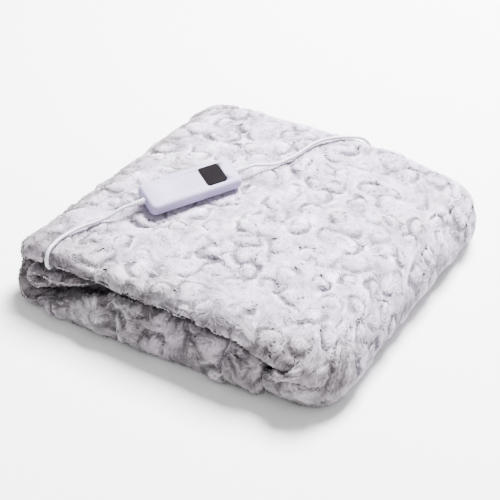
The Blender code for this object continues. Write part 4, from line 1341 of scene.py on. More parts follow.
@dataclass(frozen=True)
class Cloth:
    """The folded strip: its section, its hems, and the coarse points that the solid has too."""

    left_front: float = 0.027
    left_back: float = 0.056
    right_back: float = 0.05
    front_rows: tuple[float, ...] = (0.0, 0.0025, 0.01, 0.02, 0.031, 0.043, 0.058, 0.078, 0.104)
    back_rows: tuple[float, ...] = (0.0, 0.0025, 0.01, 0.023, 0.04, 0.065)
    wall_rows: tuple[float, ...] = (0.0, 0.0025, 0.01)
    bend_shares: tuple[float, ...] = (0.0, 0.33, 0.67, 1.0)
    bend_from_least: float = 0.014
    after_bend: float = 0.022
    middle_rows: int = 9
    end_steps: tuple[float, ...] = (0.0025, 0.01)
    corner_steps: int = 24
    fully_in: float = 1.0
    lip_lean: float = 0.28
    lip_lean_from: float = 0.012
    lip_rise: float = 0.02
    gather_middle: float = 0.035
    # Waves of the front hem: radians per metre, where they start, and their share of hem_wave.
    hem_waves: tuple[Point, ...] = ((61.0, 0.4, 1.0), (143.0, 1.1, 0.7))
    hem_wave: float = 0.0012
    hem_wave_fade: float = 0.12
    back_spread: float = 0.005
    # Where the spread starts, and over how far it grows, along each axis.
    spread_x: Row = (0.02, 0.18)
    spread_y: Row = (-0.04, 0.2)
    spread_z: Row = (0.01, 0.05)
    # How far down a normal points before the pile's room is left out, and over how much.
    underside: Row = (0.5, 0.4)
    least_half: float = 0.25

    def columns(self) -> list[tuple[str, float, float, float]]:
        """Walk the section.

        Returns:
            Each column's layer, x, z and half thickness.
        """
        found = []
        for number, piece in enumerate(STRIP):
            last = number == len(STRIP) - 1
            steps = self.steps(piece, number == 0, last)
            for t in steps if last else steps[:-1]:
                half = (piece.thick_from + (piece.thick_to - piece.thick_from) * t) / 2
                found.append((piece.name, *piece.at(t), half))
        return found

    def steps(self, piece: Run | Turn, round_start: bool, round_end: bool) -> list[float]:
        """Places along one stretch.

        Args:
            piece: The stretch.
            round_start: Whether the strip starts here, with a round hem.
            round_end: Whether it ends here.

        Returns:
            Shares of the stretch, from 0 to 1.
        """
        if isinstance(piece, Turn):
            return [k / piece.columns for k in range(piece.columns + 1)]
        length = abs(piece.x_to - piece.x_from)
        first = [0.0] + [d / length for d in self.end_steps] if round_start else [0.0]
        last = [1.0 - d / length for d in reversed(self.end_steps)] + [1.0] if round_end else [1.0]
        gap = last[0] - first[-1]
        return first + [first[-1] + gap * k / piece.columns for k in range(1, piece.columns)] + last

    def corner_inset(self, x: float, side: str) -> float:
        """How far the plan corners' rounding draws the hem in.

        Args:
            x: Where along the hem.
            side: front or back.

        Returns:
            The distance in.
        """
        inset = 0.0
        left, right = OUTER_FOLD.x - OUTER_FOLD.radius_x, RIGHT_UPPER.x + RIGHT_UPPER.radius_x
        back = ((left, self.left_back), (right, self.right_back))
        for edge, radius in ((left, self.left_front),) if side == "front" else back:
            reach = radius - abs(x - edge)
            if reach > 0.0:
                inset += radius - sqrt(radius * radius - reach * reach)
        return inset

    def read_hem(self, rows: Sequence[Point], x: float) -> Row:
        """Inset and curl from a hem's table at this x."""
        places, insets, curls = zip(*sorted(rows))
        return float(np.interp(x, places, insets)), float(np.interp(x, places, curls))

    def hem_at(self, side: str, name: str, x: float, z: float) -> Row:
        """Inset and curl of one column's hem.

        Args:
            side: front or back.
            name: The column's layer.
            x, z: Its x and its height.

        Returns:
            How far in the hem lies, and how far it is curled up or down.
        """
        table = FRONT_HEM if side == "front" else BACK_HEM
        if name == "right fold":
            upper = self.read_hem(table["top layer"], RIGHT_UPPER.x)
            lower = self.read_hem(table["climb"], RIGHT_LOWER.x)
            if z > RIGHT_UPPER.z:
                share = (z - RIGHT_UPPER.z) / RIGHT_UPPER.radius_z
                inset, lift = upper[0], upper[1] * share
            else:
                share = (RIGHT_LOWER.z - z) / RIGHT_LOWER.radius_z
                inset, lift = upper[0] + (lower[0] - upper[0]) * share, lower[1] * share
        elif name == "outer fold":
            low = self.read_hem(table["bottom layer"], OUTER_FOLD.x)
            high = self.read_hem(table["top layer"], OUTER_FOLD.x)
            share = (z - OUTER_FOLD.z + OUTER_FOLD.radius_z) / (2 * OUTER_FOLD.radius_z)
            inset = low[0] + (high[0] - low[0]) * share
            lift = high[1] * max(0.0, 2 * share - 1)
        else:
            inset, lift = self.read_hem(table[name], x)
        return inset + self.corner_inset(x, side), lift

    def corner_path(self, name: str, x: float, z: float) -> tuple[list[float], list[Vector]]:
        """Path from the front seam to the right fold's straight part.

        Args:
            name: The column's layer.
            x, z: Its x and its height.

        Returns:
            Distances along the path, and its points.
        """
        if name == "climb":
            turned_to = -90.0 - 90.0 * (RIGHT_LOWER.x - x) / (RIGHT_LOWER.x - CLIMB_END_X)
        else:
            turn = RIGHT_UPPER if z >= RIGHT_UPPER.z else RIGHT_LOWER
            up, out = (z - turn.z) / turn.radius_z, (x - turn.x) / turn.radius_x
            turned_to = degrees(atan2(up, out))
        angles, *figures = zip(*FRONT_CORNER)
        at = [float(np.interp(turned_to, angles, column)) for column in figures]
        seam, end = Vector(at[0:3]), Vector((x, CORNER_Y, z))
        pull_near = seam + Vector(at[3:6]).normalized() * at[6]
        pull_far = end - Vector((0.0, at[7], 0.0))
        points = []
        for k in range(self.corner_steps + 1):
            t = k / self.corner_steps
            near_side = seam * (1 - t) ** 3 + pull_near * 3 * t * (1 - t) ** 2
            points.append(near_side + pull_far * 3 * t**2 * (1 - t) + end * t**3)
        distances = [0.0]
        for a, b in zip(points, points[1:]):
            distances.append(distances[-1] + (b - a).length)
        return distances, points

    def curl(self, distance: float, lift: float, radius: float, half: float) -> Row:
        """How far in from its hem's line, and how far raised, the cloth is.

        Args:
            distance: Distance along the cloth from the hem.
            lift: How far the hem is curled up, or down.
            radius: Radius of the curl.
            half: Half the cloth's thickness.

        Returns:
            The distance in, and the height.
        """
        height = abs(lift)
        angle = acos(1.0 - height / radius) if height < radius else pi / 2
        rise = max(0.0, height - radius)
        start = (half + radius) * sin(angle)
        left = radius * angle + rise - distance
        if left <= 0.0:
            return start - left, 0.0
        bend = min(left / radius, angle)
        raised = radius * (1.0 - cos(bend)) + max(0.0, left - radius * angle)
        return start - radius * sin(bend), copysign(raised, lift)

    def front_distances(self, lift: float, radius: float) -> list[float]:
        """Row distances from the front hem, closer at the bend of a raised one.

        Args:
            lift: How far the hem is raised.
            radius: Radius of its bend.

        Returns:
            The distances.
        """
        share = ease(lift / self.lip_rise)
        if share == 0.0:
            return list(self.front_rows)
        height = max(lift, 0.0)
        arc = radius * acos(max(0.0, 1.0 - height / radius))
        bend_from = max(height - radius, self.bend_from_least)
        raised = list(self.wall_rows) + [(self.wall_rows[-1] + bend_from) / 2]
        raised += [bend_from + arc * part for part in self.bend_shares]
        raised.append(raised[-1] + self.after_bend)
        return [low + (high - low) * share for low, high in zip(self.front_rows, raised)]

    def gathered(self, x: float, z: float) -> float:
        """How far the gathers push the raised hem in.

        Args:
            x, z: Where along the hem, and how high.

        Returns:
            The distance in.
        """
        up = z - self.gather_middle
        shares = ((deep, (x - at + lean * up) / wide) for at, lean, wide, deep in GATHERS)
        return sum(deep * exp(-(away**2)) for deep, away in shares)

    def hollowed(self, x: float, y: float) -> float:
        """Depth of the soft hollows in the top face.

        Args:
            x, y: Where.

        Returns:
            The deepest hollow's depth there.
        """
        depth = 0.0
        for from_x, from_y, to_x, to_y, wide, deep in TROUGHS:
            run_x, run_y = to_x - from_x, to_y - from_y
            along = ((x - from_x) * run_x + (y - from_y) * run_y) / (run_x**2 + run_y**2)
            along = min(max(along, 0.0), 1.0)
            away = hypot(x - from_x - along * run_x, y - from_y - along * run_y)
            depth = max(depth, deep * exp(-((away / wide) ** 2)))
        return depth

    def spread(self, place: Point) -> float:
        """How far the foot of the right side bulges out towards the back.

        Args:
            place: A point of the cloth.

        Returns:
            The distance along X.
        """
        spans = zip(place, (self.spread_x, self.spread_y, self.spread_z))
        x, y, z = (ease((value - start) / over) for value, (start, over) in spans)
        return self.back_spread * x * y * (1.0 - z)

    def front_point(self, name: str, x: float, z: float, ahead: float, curled: Row) -> Point:
        """A point near the front hem.

        Args:
            name: The column's layer.
            x, z: Its x and its height.
            ahead: Distance from the hem.
            curled: How far in the cloth is there, and how far raised.

        Returns:
            The point.
        """
        inward, up = curled
        wave = sum(share * sin(pace * x + start) for pace, start, share in self.hem_waves)
        near = 1.0 - ease(ahead / self.hem_wave_fade)
        y = -STACK_Y / 2 + inward + self.hem_wave * wave * near
        if name == "bottom layer" and up > 0.0:
            y += self.gathered(x, z + up) * ease(up / self.lip_rise)
            y += self.lip_lean * max(0.0, up - self.lip_lean_from)
        return x, y, z + up

    def middle(self) -> tuple[Array, Array, list[str]]:
        """Work out the middle of the cloth.

        Returns:
            Points of the middle, the half thickness at each, and the columns' layers.
        """
        columns = self.columns()
        rows = len(self.front_rows) + self.middle_rows + len(self.back_rows)
        points = np.zeros((len(columns), rows, 3))
        halves = np.zeros((len(columns), rows))
        steps = [dist(a[1:3], b[1:3]) for a, b in zip(columns, columns[1:])]
        walked = np.concatenate([[0.0], np.cumsum(steps)])
        for i, (name, x, z, half) in enumerate(columns):
            radius = CURL_RADIUS.get(name, PLAIN_CURL)
            drawn = name in ("right fold", "climb")
            lift_f, inset_f, along, corner = 0.0, 0.0, [0.0], []
            inset_b, lift_b = self.hem_at("back", name, x, z)
            spare = self.fully_in - self.curl(self.fully_in, lift_b, radius, half)[0]
            if drawn:
                along, corner = self.corner_path(name, x, z)
                span = along[-1] + STACK_Y / 2 - inset_b + spare - CORNER_Y
            else:
                inset_f, lift_f = self.hem_at("front", name, x, z)
                spare += self.fully_in - self.curl(self.fully_in, lift_f, radius, half)[0]
                span = STACK_Y - inset_f - inset_b + spare
            front = self.front_distances(lift_f if name == "bottom layer" else 0.0, radius)
            gap = (span - self.back_rows[-1] - front[-1]) / (self.middle_rows + 1)
            between = [front[-1] + gap * k for k in range(1, self.middle_rows + 1)]
            distances = front + between + [span - d for d in reversed(self.back_rows)]
            from_end = min(walked[i], walked[-1] - walked[i])
            for j, ahead in enumerate(distances):
                behind = span - ahead
                if behind <= ahead or drawn and ahead >= along[-1]:
                    inward, up = self.curl(behind, lift_b, radius, half)
                    place = (x, STACK_Y / 2 - inset_b - inward, z + up)
                elif drawn:
                    place = tuple(float(np.interp(ahead, along, line)) for line in zip(*corner))
                else:
                    inward, up = self.curl(ahead, lift_f, radius, half)
                    place = self.front_point(name, x, z, ahead, (inset_f + inward, up))
                edge = min(ahead, behind, from_end)
                points[i, j] = (place[0] + self.spread(place), place[1], place[2])
                halves[i, j] = half * sqrt(max(0.0, 1.0 - (1.0 - min(edge / half, 1.0)) ** 2))
        return points, halves, [column[0] for column in columns]

    def faces_of_cloth(
        self, drawn_in: float, controller: Controller
    ) -> tuple[Array, Array, list[str]]:
        """Work out the strip's two sides in the part's frame.

        Args:
            drawn_in: How far inside the solid they lie.
            controller: What the top layer is shaped to.

        Returns:
            The outer points, the inner points, and the columns' layers.
        """
        middle, halves, names = self.middle()
        normal = unit(np.cross(np.gradient(middle, axis=0), np.gradient(middle, axis=1)))
        from_down, over = self.underside
        downward = smoothstep((-normal[:, :, 2] - from_down) / over)
        least = halves * self.least_half
        upper = np.maximum(halves - drawn_in * (1.0 - downward), least)[:, :, None]
        lower = np.maximum(halves - drawn_in, least)[:, :, None]
        outer, inner = middle + normal * upper, middle - normal * lower
        for i, name in enumerate(names):
            if name not in ("top layer", "right fold"):
                continue
            for j in range(outer.shape[1]):
                x, y = outer[i, j, :2]
                change = controller.seat_lift(x, y) - self.hollowed(x, y)
                outer[i, j, 2] += change * max(float(normal[i, j, 2]), 0.0)
        shift = np.array(tuple(SHIFT))
        return outer + shift, inner + shift, names


# --- embossed pile
@dataclass(frozen=True)
class DyeAndShadeShare:
    """How much of the fold colours, grey dye and painted shade, a layer shows: everywhere, low
    down, on the lip and so on.
    """

    base: float = 0.0
    low: float = 0.0
    lip: float = 0.0
    left: float = 0.0
    front: float = 0.0
    # Height at which the front's share starts to fade, and over how much.
    up_to: Row = (1.0, 1.0)


# Painted shade on the front, low down, under the top layer's curled hem and on the hidden inner
# layers, with the grey dye.
DYE_AND_SHADE_BY_LAYER = {
    "bottom layer": DyeAndShadeShare(base=0.5, front=0.38),
    "outer fold": DyeAndShadeShare(base=0.84, low=0.14),
    "top layer": DyeAndShadeShare(lip=0.66, left=0.16, front=0.35, up_to=(0.056, 0.024)),
    "right fold": DyeAndShadeShare(low=0.42, lip=0.25, front=0.7, up_to=(0.064, 0.026)),
    **dict.fromkeys(INSIDE, DyeAndShadeShare(base=0.95)),
}


# A place on the strip is one complex number: along the strip, and across it as its imaginary part.
class Ripples:
    """Smooth uneven field: a sum of waves in seeded directions, about -1 to 1."""

    LEVEL = 0.8

    def __init__(self, seed: int, wavelength: float, waves: int = 14) -> None:
        """Draw the waves.

        Args:
            seed: Seed of the draw.
            wavelength: Usual size of a lump, in metres.
            waves: Waves that are summed.
        """
        draw = np.random.default_rng(seed)
        angle = draw.uniform(0, tau, waves)
        number = tau / (wavelength * draw.uniform(0.7, 1.6, waves))
        phase = draw.uniform(0, tau, waves)
        self.waves = list(zip(number * np.cos(angle), number * np.sin(angle), phase))

    def read(self, place: Array) -> Array:
        """The field at places on the strip."""
        total = sum(np.cos(a * place.real + b * place.imag + c) for a, b, c in self.waves)
        return total / sqrt(len(self.waves)) * self.LEVEL


def bell(t: Array) -> Array:
    """A bell of height 1 about 0."""
    return np.exp(-(t**2))


@dataclass(frozen=True)
class Emboss:
    """What the embossing does at places on the cloth."""

    rise: Array
    groove: Array
    way: Array
    # Tone, with painted shading lighter on the domes and lumps and a painted highlight beside the
    # grooves.
    tone: Array


class Roses:
    """Curled roses pressed into the pile: uneven domes, each with crescent grooves that wind in."""

    PITCH, ROW_PITCH = 0.036, 0.031
    ROWS, ACROSS, ROWS_BEFORE = 72, 24, 3
    JITTER = 0.3
    SIZE = (0.0115, 0.0175)
    DEPTH = (0.35, 1.0)
    WARP = 0.0035
    DOME, LUMP, SMALL_LUMP = 0.0031, 0.0012, 0.0004
    GROOVE_DEEP, GROOVE_HALF = 0.0044, 0.0028
    # Shares of a rose's size: where the outer groove starts, and how far it winds in.
    WINDING = (1.02, 0.45)
    # A groove's ends, in radians: how long its start is, where it starts to end, how long.
    OUTER_ARC = (0.5, 2.0, 2.6)
    INNER_ARC = (0.6, 1.6, 1.6)
    # The inner groove's place as a share of the rose's size, its depth and its width.
    INNER = (0.42, 0.7, 0.8)
    # How far out from the groove, in its half widths, the pile catches the light, and how much.
    EDGE_OUT, EDGE_TONE = 1.9, 0.42
    # Tone of the bare pile, and the painted shading that the lumps, the small lumps and the domes
    # add, lighter where they rise.
    TONE_AND_RELIEF_SHADING = (0.5, 0.13, 0.06, 0.28)
    DOME_MEAN = 0.45
    # The pile's lie: out of the rose's ring, and its heading between the roses.
    LIE_OUT = 0.45
    HEADING = (1.5, -0.9)
    # Where the rose's own lie starts to end, as a share of its size, and over how much.
    LIE_END = (0.85, 0.5)

    def __init__(self, seed: int) -> None:
        """Scatter the roses.

        Args:
            seed: Seed of the draw.
        """
        draw = np.random.default_rng(seed)
        rows, across = np.indices((self.ROWS, self.ACROSS))
        loose = self.JITTER * self.PITCH
        start = (rows - self.ROWS_BEFORE) * self.ROW_PITCH + draw.uniform(-loose, loose, rows.shape)
        side = (across - self.ACROSS / 2 + 0.5 * (rows % 2)) * self.PITCH
        self.middle = start + 1j * (side + draw.uniform(-loose, loose, rows.shape))
        self.size = draw.uniform(*self.SIZE, rows.shape)
        self.turn = draw.uniform(0, tau, rows.shape)
        self.hand = np.where(draw.uniform(0, 1, rows.shape) < 0.5, -1.0, 1.0)
        self.depth = draw.uniform(*self.DEPTH, rows.shape)
        self.flow, self.lumps = Ripples(seed + 1, 0.11), Ripples(seed + 2, 0.045)
        self.small, self.patches = Ripples(seed + 3, 0.014), Ripples(seed + 6, 0.075)
        self.warp_u, self.warp_v = Ripples(seed + 4, 0.03), Ripples(seed + 5, 0.03)

    def nearest(self, place: Array) -> tuple[Array, Array]:
        """Find the rose that each place belongs to.

        Args:
            place: Places on the strip.

        Returns:
            The rose's row, and its number in the row.
        """
        row = np.rint(place.real / self.ROW_PITCH + self.ROWS_BEFORE).astype(int)
        best = np.full(place.shape, np.inf)
        found = [np.zeros(place.shape, int)] * 2
        for step in (-1, 0, 1):
            r = np.clip(row + step, 0, self.ROWS - 1)
            column = np.rint(place.imag / self.PITCH + self.ACROSS / 2 - 0.5 * (r % 2)).astype(int)
            for side in (-1, 0, 1):
                c = np.clip(column + side, 0, self.ACROSS - 1)
                far = np.abs(place - self.middle[r, c]) / self.size[r, c]
                found = [np.where(far < best, new, old) for new, old in zip((r, c), found)]
                best = np.minimum(best, far)
        return tuple(found)

    def arc(self, angle: Array, start: float, end: float, over: float) -> Array:
        """How fully a groove is there at an angle about its rose."""
        return smoothstep(angle / start) * (1.0 - smoothstep((angle - end) / over))

    def read(self, place: Array) -> Emboss:
        """Relief, groove and lie of the pile, and its tone with painted relief shading.

        Args:
            place: Places on the strip.

        Returns:
            The embossing at each place.
        """
        warped = place + self.WARP * (self.warp_u.read(place) + 1j * self.warp_v.read(place))
        at = self.nearest(warped)
        size, hand, depth = self.size[at], self.hand[at], self.depth[at]
        out = warped - self.middle[at]
        radius = np.abs(out)
        angle = np.mod(np.angle(out) * hand - self.turn[at], tau)
        out = out / np.maximum(radius, 1e-6)
        dome = np.clip(1.0 - (radius / size) ** 2, 0.0, 1.0)
        winding = size * (self.WINDING[0] - self.WINDING[1] * angle / (tau))
        outer = self.arc(angle, *self.OUTER_ARC)
        inner = self.arc(np.mod(angle + pi, tau), *self.INNER_ARC)
        ring, share, wide = self.INNER
        groove = bell((radius - winding) / self.GROOVE_HALF) * outer
        groove += share * bell((radius - size * ring) / (wide * self.GROOVE_HALF)) * inner
        groove = np.clip(groove * depth, 0.0, 1.0)
        lumps, small = self.lumps.read(place), self.small.read(place)
        rise = self.DOME * (dome - 0.5) * (0.5 + 0.5 * depth) - self.GROOVE_DEEP * groove
        rise = rise + self.LUMP * lumps + self.SMALL_LUMP * small
        inside = 1.0 - smoothstep((radius / size - self.LIE_END[0]) / self.LIE_END[1])
        heading = self.HEADING[0] * self.flow.read(place) + self.HEADING[1]
        way = inside * out * (1j * hand + self.LIE_OUT) + (1.0 - inside) * np.exp(1j * heading)
        edge = bell((radius - winding - self.EDGE_OUT * self.GROOVE_HALF) / self.GROOVE_HALF)
        bare, for_lumps, for_small, for_dome = self.TONE_AND_RELIEF_SHADING
        # Painted shading: lighter on the domes and lumps, with a painted highlight just outside the
        # groove.
        tone = bare + for_lumps * lumps + for_small * small + for_dome * (dome - self.DOME_MEAN)
        tone = tone + self.EDGE_TONE * edge * outer * depth
        return Emboss(rise, groove, way / np.maximum(np.abs(way), 1e-6), tone)


@dataclass(frozen=True)
class Grid:
    """One side of the cloth as a fine grid; a spot on it is complex, in steps of its rows."""

    points: Array
    normals: Array
    along_i: Array
    along_j: Array
    place: Array
    # Share of the fold colours: grey dye and painted shade.
    fold: Array
    # Far past the grid's last column.
    FAR_HEM = 1e9j

    def points_at(self, spot: Array, most: Array) -> Array:
        """Points of the side, also past its edges, where they run straight on.

        Args:
            spot: Spots on the grid or past it.
            most: How many metres past an edge a point may lie.

        Returns:
            The points.
        """
        rows, across = self.points.shape[:2]
        inside = np.clip(spot.real, 0, rows - 1) + 1j * np.clip(spot.imag, 0, across - 1)
        found, past = self.sample(self.points, inside), spot - inside
        for beyond, along in ((past.real, self.along_i), (past.imag, self.along_j)):
            tangent = self.sample(along, inside)
            length = np.maximum(norm(tangent, axis=1), 1e-9)
            found = found + tangent * (np.clip(beyond * length, -most, most) / length)[:, None]
        return found

    def sample(self, values: Array, spot: Array) -> Array:
        """Read one of the grid's arrays between its points.

        Args:
            values: The array.
            spot: Spots on the grid.

        Returns:
            The values there.
        """
        i = np.clip(spot.real, 0, values.shape[0] - 1.001)
        j = np.clip(spot.imag, 0, values.shape[1] - 1.001)
        i0, j0 = i.astype(int), j.astype(int)
        fi, fj = i - i0, j - j0
        if values.ndim == 3:
            fi, fj = fi[:, None], fj[:, None]
        near = values[i0, j0] * (1 - fi) + values[i0 + 1, j0] * fi
        far = values[i0, j0 + 1] * (1 - fi) + values[i0 + 1, j0 + 1] * fi
        return near * (1 - fj) + far * fj


def keep_map(mesh: Mesh, maps: Sequence[Array]) -> None:
    """Keep the map that the finish is baked to, face by face."""
    spots = np.concatenate([part.reshape(-1) for part in maps]).astype(np.float32)
    mesh.uv_layers.new(name=BAKE_MAP).data.foreach_set("uv", spots)


def keep_shades(mesh: Mesh, shade: Array, fold: Array, strand: Array) -> None:
    """Keep what the finishes read on a mesh's points.

    Args:
        mesh: The mesh.
        shade: Shade of each point.
        fold: How much of the fold colours, grey dye and painted shade, it shows.
        strand: Its place across the fibres.
    """
    for name, values in ((SHADE, shade), (FOLD, fold), (STRAND, strand)):
        kept = mesh.attributes.new(name, "FLOAT", "POINT")
        kept.data.foreach_set("value", values.astype(np.float32))


def lock_mesh(
    name: str, verts: Array, facing: Array, shades: Array, folds: Array
) -> Mesh:
    """Join one piece of the pile as a mesh of closed three-sided locks.

    Args:
        name: The mesh's name.
        verts: Points by lock.
        facing: Normal of each point, mostly the cloth's own.
        shades: Shade of each point.
        folds: Share of the fold colours, grey dye and painted shade, of each lock.

    Returns:
        The mesh, with a square of the bake map for each lock.
    """
    count = len(verts)
    starts = (np.arange(count) * 7)[:, None, None]
    faces: list[list[int]] = []
    for shapes in (
        [[0, 1, 4, 3], [1, 2, 5, 4], [2, 0, 3, 5]],
        [[3, 4, 6], [4, 5, 6], [5, 3, 6], [2, 1, 0]],
    ):
        faces += (np.array(shapes)[None] + starts).reshape(-1, len(shapes[0])).tolist()
    mesh = bpy.data.meshes.new(name)
    mesh.from_pydata(verts.reshape(-1, 3).tolist(), [], faces)
    mesh.shade_smooth()
    side = ceil(sqrt(count))
    corner = np.stack([np.arange(count) % side, np.arange(count) // side], axis=1) / side
    strips = [[(k, 0.12), (k + 1, 0.12), (k + 1, 0.55), (k, 0.55)] for k in range(3)]
    points = [[(k, 0.55), (k + 1, 0.55), (k + 0.5, 1.0)] for k in range(3)]
    root = [[(1.0, 0.0), (2.0, 0.0), (1.5, 0.12)]]
    squares = [np.array(shapes) * (0.8 / 3, 0.8) + 0.1 for shapes in (strips, points + root)]
    keep_map(mesh, [corner[:, None, None] + square[None] / side for square in squares])
    across = np.tile([1.0, 0.0, -1.0, 0.8, 0.0, -0.8, 0.0], count)
    strand = across + np.repeat(np.arange(count) * 7.31, 7)
    keep_shades(mesh, shades.reshape(-1), np.repeat(folds, 7), strand)
    mesh.normals_split_custom_set_from_vertices(facing.reshape(-1, 3).tolist())
    return mesh


@dataclass(frozen=True)
class Plush:
    """The plush cloth: the folded strip with its embossed relief, and the pile that grows on it."""

    seed: int = 11
    drawn_in: float = 0.0026
    fine_step: float = 0.0034
    coarse_step: float = 0.011
    inner_start: float = 0.9
    pressed_flat: float = 0.85
    # Height at which the relief starts over the surface below, and over how much it grows.
    off_floor: Row = (0.001, 0.004)
    # The front's waves: wavelength, height, and how far they are drawn out across the strip.
    rumples: tuple[Point, ...] = ((0.055, 0.002, 1.0), (0.034, 0.0022, 0.3))
    rumpled_from: Row = (0.13, 0.09)
    ground_tone: float = 0.46
    # Painted shade in the roses' grooves, on the bare cloth.
    ground_groove_shade: float = 0.36
    strands_per_metre: float = 300.0
    locks_in_all: int = 75000
    most_in_a_piece: int = 19900
    lock_long: Row = (0.0095, 0.015)
    lock_wide: Row = (0.0011, 0.0019)
    lift_middle: float = 0.0012
    lift_tip: Row = (-0.0002, 0.001)
    sunk: float = 0.0003
    # A lock's three corners, out to the side and up, in its widths.
    section: tuple[Row, ...] = ((1.0, -0.35), (0.0, 0.75), (-1.0, -0.35))
    narrower: float = 0.85
    round_look: float = 0.45
    tuft: float = 0.0075
    tufts_across: int = 331
    tuft_jitter: float = 0.42
    tuft_tone: float = 0.06
    tuft_sway: float = 0.2
    drawn_together: float = 0.45
    lock_sway: float = 0.11
    lock_tone: float = 0.05
    # Tone added at a lock's root, middle and tip.
    lighter: Point = (-0.06, 0.0, 0.1)
    # Painted shade in the roses' grooves, on the locks.
    groove_painted_shade: float = 1.2
    groove_short: float = 0.65
    # How fast a crossed groove shortens a lock, and how much of it doesn't count.
    crossing: Row = (1.8, 0.2)
    groove_flat: float = 0.7
    shortest: float = 0.35
    hem_reach: float = 0.014
    hem_comb: float = 0.6
    end_comb: float = 0.8
    hem_over: float = 0.0045
    corner_over: float = 0.005
    corner_from: Row = (0.105, 0.02)
    # Where the fold colours' shares, grey dye and painted shade, start, and over how much they grow
    # or fade.
    front_tones: Row = (0.115, 0.095)
    lip_tones: Row = (0.14, 0.07)
    left_tones: Row = (0.06, 0.1)
    low_tones: Row = (0.03, 0.045)
    fold_spread: float = 0.05
    fold_patches: float = 0.35
    fold_contrast: float = 0.9
    # Sight rays: number, lowest and highest z, start above the cloth, least rise from it, and how
    # many cells share one test.
    ways: int = 40
    way_z: Row = (-0.15, 0.98)
    way_start: float = 0.0022
    way_rise: float = 0.05
    block: int = 2
    # Share of free rays that gives the full pile, and the share of pile where hardly any is free.
    full_from: float = 0.2
    least_pile: float = 0.35

    def build(self, controller: Controller) -> None:
        """Args:
            controller: What lies in the plush.
        """
        roses = Roses(self.seed)
        outer, inner, flat = self.fine_grids(roses, controller)
        cloth = self.make_cloth(outer, inner, roses)
        pile = self.grow((outer, inner), roses, cloth, controller)
        log.info("cloth: %.2f x %.2f m, %d faces", *flat, len(cloth.data.polygons))

    def fine_grids(self, roses: Roses, controller: Controller) -> tuple[Grid, Grid, Row]:
        """Refine both sides of the strip and press the roses in.

        Args:
            roses: The embossing.
            controller: What presses it flat.

        Returns:
            The outer grid, the inner grid, and the cloth's flat width and length.
        """
        outer, inner, names = Cloth().faces_of_cloth(self.drawn_in, controller)
        middle = (outer + inner) / 2
        gaps = norm(np.diff(middle[:, middle.shape[1] // 2], axis=0), axis=1)
        spans = norm(np.diff(middle, axis=1), axis=2)
        pitches = [self.coarse_step if name in INSIDE else self.fine_step for name in names]
        counts_i = [max(1, round(float(gap / pitch))) for gap, pitch in zip(gaps, pitches)]
        counts_j = [max(1, round(float(gap / self.fine_step))) for gap in np.median(spans, axis=0)]
        along = np.concatenate([[0.0], np.cumsum(gaps)])
        across = np.concatenate([np.zeros((len(names), 1)), np.cumsum(spans, axis=1)], axis=1)
        u, v = np.broadcast_to(along[:, None], across.shape), across - across[:, -1:] / 2
        refined = []
        for side in (outer, inner, np.stack([u, v, self.fold_shade(middle, names)], axis=2)):
            rows = smooth_through(side, counts_i)
            refined.append(smooth_through(rows.transpose(1, 0, 2), counts_j).transpose(1, 0, 2))
        u, v, fold = np.moveaxis(refined[2], 2, 0)
        grids = []
        for sign, points, start in ((1.0, refined[0], 0.0), (-1.0, refined[1], self.inner_start)):
            rise = roses.read(u + start + 1j * v).rise + self.front_waves(points, u, v)
            free = self.away_from_rim(points)
            free = free * (1.0 - self.pressed_flat * controller.covers(points))
            free = free * smoothstep((points[:, :, 2] - self.off_floor[0]) / self.off_floor[1])
            points = points + self.normals(points) * (sign * rise * free)[:, :, None]
            points[:, :, 2] = np.maximum(points[:, :, 2], 0.0)
            steps = (np.gradient(points, axis=0), np.gradient(points, axis=1))
            normals = self.normals(points) * sign
            grids.append(Grid(points, normals, *steps, u + start + 1j * v, np.clip(fold, 0.0, 1.0)))
        for k in (0, -1):
            grids[1].points[k], grids[1].points[:, k] = grids[0].points[k], grids[0].points[:, k]
        return grids[0], grids[1], (float(np.median(across[:, -1])), float(along[-1]))

    def front_waves(self, points: Array, u: Array, v: Array) -> Array:
        """Extra unevenness towards the front, where the cloth is rumpled.

        Args:
            points: Points of one side.
            u, v: How far along and across the strip they are.

        Returns:
            The extra rise at each.
        """
        front = smoothstep((-points[:, :, 1] - self.rumpled_from[0]) / self.rumpled_from[1])
        rise = np.zeros_like(front)
        for seed, (long, high, drawn_out) in enumerate(self.rumples, self.seed + 20):
            rise += high * Ripples(seed, long).read(u + 1j * drawn_out * v)
        return front * rise

    def normals(self, points: Array) -> Array:
        """Unit normals of a grid, outward on the outer side."""
        return unit(np.cross(np.gradient(points, axis=0), np.gradient(points, axis=1)))

    def away_from_rim(self, points: Array) -> Array:
        """Share of the relief near the hems, where both sides meet.

        Args:
            points: Points of one side.

        Returns:
            0 on the hems and 1 further in.
        """
        i, j = np.indices(points.shape[:2])
        to_end = np.minimum(i, points.shape[0] - 1 - i)
        return smoothstep(np.minimum(to_end, np.minimum(j, points.shape[1] - 1 - j)) / 3.0)

    def fold_shade(self, middle: Array, names: Sequence[str]) -> Array:
        """How much of the darker, warmer fold colours, grey dye and painted shade, shows.

        Args:
            middle: Coarse points of the cloth's middle.
            names: Layer of each column.

        Returns:
            From 0 on the open top to 1 deep in the folds.
        """
        x, y, height = np.moveaxis(middle, 2, 0)
        front = smoothstep((-y - self.front_tones[0]) / self.front_tones[1])
        lip = smoothstep((-y - self.lip_tones[0]) / self.lip_tones[1])
        left = smoothstep((-x - self.left_tones[0]) / self.left_tones[1])
        low = 1.0 - smoothstep((height - self.low_tones[0]) / self.low_tones[1])
        shade = np.zeros(x.shape)
        for i, name in enumerate(names):
            tone = DYE_AND_SHADE_BY_LAYER[name]
            below = 1.0 - smoothstep((height[i] - tone.up_to[0]) / tone.up_to[1])
            shade[i] = tone.base + tone.low * low[i] + tone.lip * lip[i] + tone.left * left[i]
            shade[i] += tone.front * front[i] * below
        return shade

